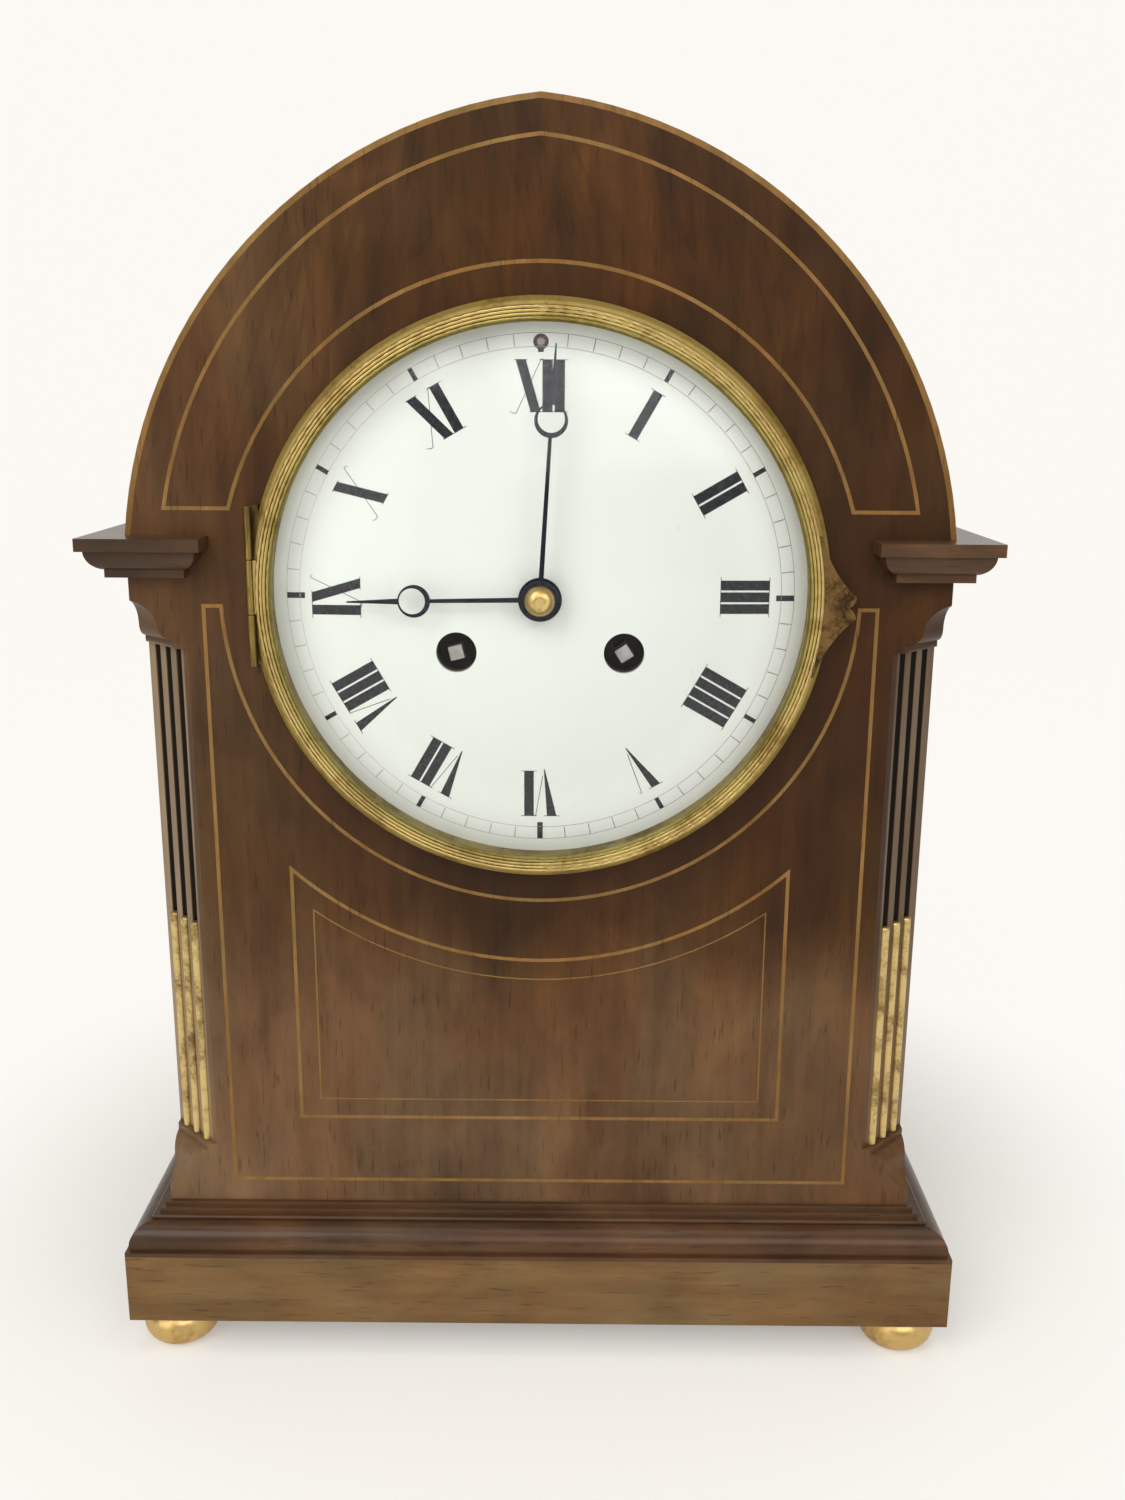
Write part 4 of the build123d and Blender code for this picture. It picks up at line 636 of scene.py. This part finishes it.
class Print:
    """Flat shapes laid on the dial, gathered into one mesh."""

    def __init__(self):
        self.points = []
        self.faces = []

    def strip(self, hour, low_left, low_right, high_left, high_right, cuts=6):
        """A four-sided patch, cut across so that it follows the dome."""
        start = len(self.points)
        for step in range(cuts + 1):
            share = step / cuts
            for low, high in ((low_left, high_left), (low_right, high_right)):
                across = low[0] + (high[0] - low[0]) * share
                out = low[1] + (high[1] - low[1]) * share
                self.points.append(dial_point(across, out, hour))
        for step in range(cuts):
            a = start + 2 * step
            self.faces.append((a, a + 1, a + 3, a + 2))

    def bar(self, hour, low, high, low_w, high_w):
        """A stroke with level ends, from a low point to a high one."""
        self.strip(
            hour, (low[0] - low_w / 2, low[1]), (low[0] + low_w / 2, low[1]),
            (high[0] - high_w / 2, high[1]), (high[0] + high_w / 2, high[1]),
        )

    def serif(self, hour, mid, level, width):
        """A level hair stroke across the end of a bar."""
        self.bar(hour, (mid, level - HAIR / 2), (mid, level + HAIR / 2), width, width)

    def curl(self, hour, start, reach, rise, steps=6):
        """A hair stroke that bends round a quarter turn from its start."""
        last = start
        for step in range(1, steps + 1):
            turn = pi / 2 * step / steps
            here = (start[0] + reach * sin(turn), start[1] + rise * (1 - cos(turn)))
            ends = [(x, out + side * HAIR / 2) for x, out in (last, here) for side in (-1, 1)]
            self.strip(hour, *ends, cuts=1)
            last = here

    def ring(self, radius, width, steps=240):
        """A thin ring round the dial's centre."""
        start = len(self.points)
        for step in range(steps):
            hour = 12 * step / steps
            self.points.append(dial_point(0, radius - width / 2, hour))
            self.points.append(dial_point(0, radius + width / 2, hour))
        for step in range(steps):
            a = start + 2 * step
            b = start + 2 * ((step + 1) % steps)
            self.faces.append((a, a + 1, b + 1, b))

    def make(self, name, body, finish):
        """Turns the gathered shapes into one object that rides on a body."""
        mesh = bpy.data.meshes.new(name)
        mesh.from_pydata(self.points, [], self.faces)
        mesh.update()
        piece = bpy.data.objects.new(name, mesh)
        bpy.context.scene.collection.objects.link(piece)
        mesh.materials.append(finish)
        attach(piece, body)


def draw_bar(out, hour, left):
    mid = left + BAR_W / 2
    out.bar(hour, (mid, NUMERAL_IN), (mid, NUMERAL_OUT), BAR_W, BAR_W)
    for level in (NUMERAL_IN, NUMERAL_OUT):
        out.serif(hour, mid, level, BAR_W + 2 * SERIF)


def draw_vee(out, hour, left):
    foot = left + V_W * V_FOOT
    thick = left + BAR_W / 2 + V_BAR_IN
    thin = left + V_W - V_HAIR_IN
    thin_foot = (foot + V_HAIR_FOOT[0], NUMERAL_IN + V_HAIR_FOOT[1])
    out.bar(hour, (foot, NUMERAL_IN - V_DROP), (thick, NUMERAL_OUT), V_TIP_W, BAR_W)
    out.bar(hour, thin_foot, (thin, NUMERAL_OUT), HAIR, HAIR)
    out.serif(hour, thick, NUMERAL_OUT, BAR_W + 2 * SERIF)
    out.curl(hour, (thin, NUMERAL_OUT), CURL, -CURL)


def draw_ex(out, hour, left):
    low = left + X_W - BAR_W / 2 - X_BAR_IN[0]
    high = left + BAR_W / 2 + X_BAR_IN[1]
    thin_low = (left + X_HAIR_IN, NUMERAL_IN - X_HAIR_PAST[0])
    thin_high = (left + X_W - X_HAIR_IN, NUMERAL_OUT + X_HAIR_PAST[1])
    out.bar(hour, (low, NUMERAL_IN), (high, NUMERAL_OUT), BAR_W, BAR_W)
    out.bar(hour, thin_low, thin_high, HAIR, HAIR)
    out.curl(hour, thin_low, -2 * CURL, CURL)
    out.curl(hour, thin_high, CURL, -CURL)
    for mid, level in ((low, NUMERAL_IN), (high, NUMERAL_OUT)):
        out.serif(hour, mid, level, BAR_W + SERIF)


STROKES = {"I": (BAR_W + BAR_GAP, draw_bar), "V": (V_W, draw_vee), "X": (X_W, draw_ex)}
NUMERALS = ["I", "II", "III", "IIII", "V", "VI", "VII", "VIII", "IX", "X", "XI", "XII"]


def dial_print():
    black = ink("ink", dark=(15, 16, 23), worn=(34, 35, 44))
    pale = ink("faint_ink", dark=(120, 124, 126), worn=(168, 172, 172), fade=0.6)
    numerals = Print()
    for index, letters in enumerate(NUMERALS):
        hour = index + 1
        wide = sum(STROKES[letter][0] for letter in letters)
        left = -wide / 2
        for letter in letters:
            advance, draw = STROKES[letter]
            draw(numerals, hour, left)
            left += advance
    hour_bars = Print()
    track = Print()
    track.ring(RING_OUT, RING_LINE)
    track.ring(RING_IN, RING_LINE)
    for minute in range(60):
        hour = minute / 5
        if minute % 5:
            track.bar(hour, (0, RING_IN + TICK_GAP), (0, RING_OUT), TICK_W, TICK_W)
        elif minute % 15:
            hour_bars.bar(hour, (0, RING_IN), (0, RING_OUT), HOUR_BAR_W, HOUR_BAR_W)
        else:
            outer = RING_OUT if minute else RING_IN - TWELVE_GAP
            hour_bars.bar(hour, (0, QUARTER_BAR_IN), (0, outer), QUARTER_BAR_W, QUARTER_BAR_W)
    numerals.make("dial_numerals", "case", black)
    hour_bars.make("dial_hour_bars", "case", black)
    track.make("minute_track", "case", pale)


dial_print()

# Floor that bends up into a backdrop: half its width, its ends, the bend, the top, and the radii
# between which the part's shadow on it fades
FLOOR_HALF_W = 4.0
FLOOR_FRONT = -2.5
FLOOR_BACK = 1.2
BEND_R = 0.9
BEND_STEPS = 12
BACKDROP_TOP = 3.0
SHADOW_R = (0.12, 0.25)


def floor_finish():
    """Pale matt floor, white to the camera and in reflections away from the part's shadow."""
    f = Finish("pale_floor")
    drift = f.noise(f.stretched(), scale=2.0, detail=2.0)
    tone = f.mix(drift, lin(FLOOR_DARK), lin(FLOOR_PALE))
    matt = f.node("BsdfDiffuse", Color=tone).outputs[0]
    glow = f.node("Emission", Color=lin(STUDIO_WHITE), Strength=1.0).outputs[0]
    path = f.node("LightPath")
    seen = f.math("ADD", path.outputs["Is Camera Ray"], path.outputs["Is Glossy Ray"], clamp=True)
    seen = f.math("ADD", seen, path.outputs["Is Transmission Ray"], clamp=True)
    away = f.vector("LENGTH", f.place()).outputs["Value"]
    share = f.math("MULTIPLY", seen, f.span(away, SHADOW_R, to_low=0.28, to_high=0.97))
    return f.surface(f.node("MixShader", i0=share, i1=matt, i2=glow).outputs[0])


def backdrop():
    line = [(FLOOR_FRONT, 0.0), (FLOOR_BACK, 0.0)]
    for step in range(1, BEND_STEPS + 1):
        turn = pi / 2 * step / BEND_STEPS
        line.append((FLOOR_BACK + BEND_R * sin(turn), BEND_R * (1 - cos(turn))))
    line.append((FLOOR_BACK + BEND_R, BACKDROP_TOP))
    points = [(side * FLOOR_HALF_W, y, z) for y, z in line for side in (-1, 1)]
    faces = [(2 * i, 2 * i + 1, 2 * i + 3, 2 * i + 2) for i in range(len(line) - 1)]
    mesh = bpy.data.meshes.new("backdrop")
    mesh.from_pydata(points, [], faces)
    for face in mesh.polygons:
        face.use_smooth = True
    piece = bpy.data.objects.new("backdrop", mesh)
    bpy.context.scene.collection.objects.link(piece)
    mesh.materials.append(floor_finish())


backdrop()


def area_light(name, place, target, size, power, colour=(1, 1, 1)):
    data = bpy.data.lights.new(name, "AREA")
    data.shape = "RECTANGLE"
    data.size, data.size_y = size
    data.energy = power
    data.color = colour
    lamp = bpy.data.objects.new(name, data)
    lamp.location = place
    lamp.rotation_euler = (Vector(target) - Vector(place)).to_track_quat("-Z", "Y").to_euler()
    bpy.context.scene.collection.objects.link(lamp)


# Each light: its place, target, size in metres, power in watts and colour
area_light("key", (-0.95, -1.35, 1.55), (0, 0, 0.18), (1.4, 1.1), 22.0, (1.0, 0.99, 0.97))
area_light("front", (0.6, -1.95, 1.15), (0, 0, 0.18), (1.8, 1.0), 17.0)
area_light("low", (-1.5, -1.75, 0.5), (0, 0, 0.18), (1.7, 1.1), 11.0)
area_light("fill", (1.5, -1.0, 0.8), (0, 0, 0.16), (1.6, 1.6), 7.0, (0.98, 0.99, 1.0))
area_light("top", (0.1, -0.2, 1.9), (0, 0, 0.2), (1.6, 1.2), 11.0)

# The studio lights the part dimly, and to the camera it is as white as the backdrop from every side
SKY_STRENGTH = 0.22
world = bpy.data.worlds.new("studio")
bpy.context.scene.world = world
world.use_nodes = True
tree = world.node_tree
sky = tree.nodes["Background"]
sky.inputs["Color"].default_value = lin(SKY)
sky.inputs["Strength"].default_value = SKY_STRENGTH
white = tree.nodes.new("ShaderNodeBackground")
white.inputs["Color"].default_value = lin(STUDIO_WHITE)
either = tree.nodes.new("ShaderNodeMixShader")
path = tree.nodes.new("ShaderNodeLightPath")
tree.links.new(path.outputs["Is Camera Ray"], either.inputs[0])
tree.links.new(sky.outputs[0], either.inputs[1])
tree.links.new(white.outputs[0], either.inputs[2])
tree.links.new(either.outputs[0], tree.nodes["World Output"].inputs[0])

bpy.context.scene.view_settings.view_transform = "Standard"

lens = bpy.data.cameras.new("camera")
lens.lens = LENS_MM
lens.sensor_width = SENSOR_MM
camera = bpy.data.objects.new("camera", lens)
bpy.context.scene.collection.objects.link(camera)
pitch, yaw, roll = radians(PITCH), radians(YAW), radians(ROLL)
ahead = Vector((sin(yaw) * cos(pitch), cos(yaw) * cos(pitch), -sin(pitch)))
level = Vector((cos(yaw), -sin(yaw), 0))
upward = level.cross(ahead)
right = level * cos(roll) + upward * sin(roll)
top = upward * cos(roll) - level * sin(roll)
axes = Matrix((right, top, -ahead)).transposed()
camera.matrix_world = Matrix.Translation(Vector(EYE) * MM) @ axes.to_4x4()
bpy.context.scene.camera = camera
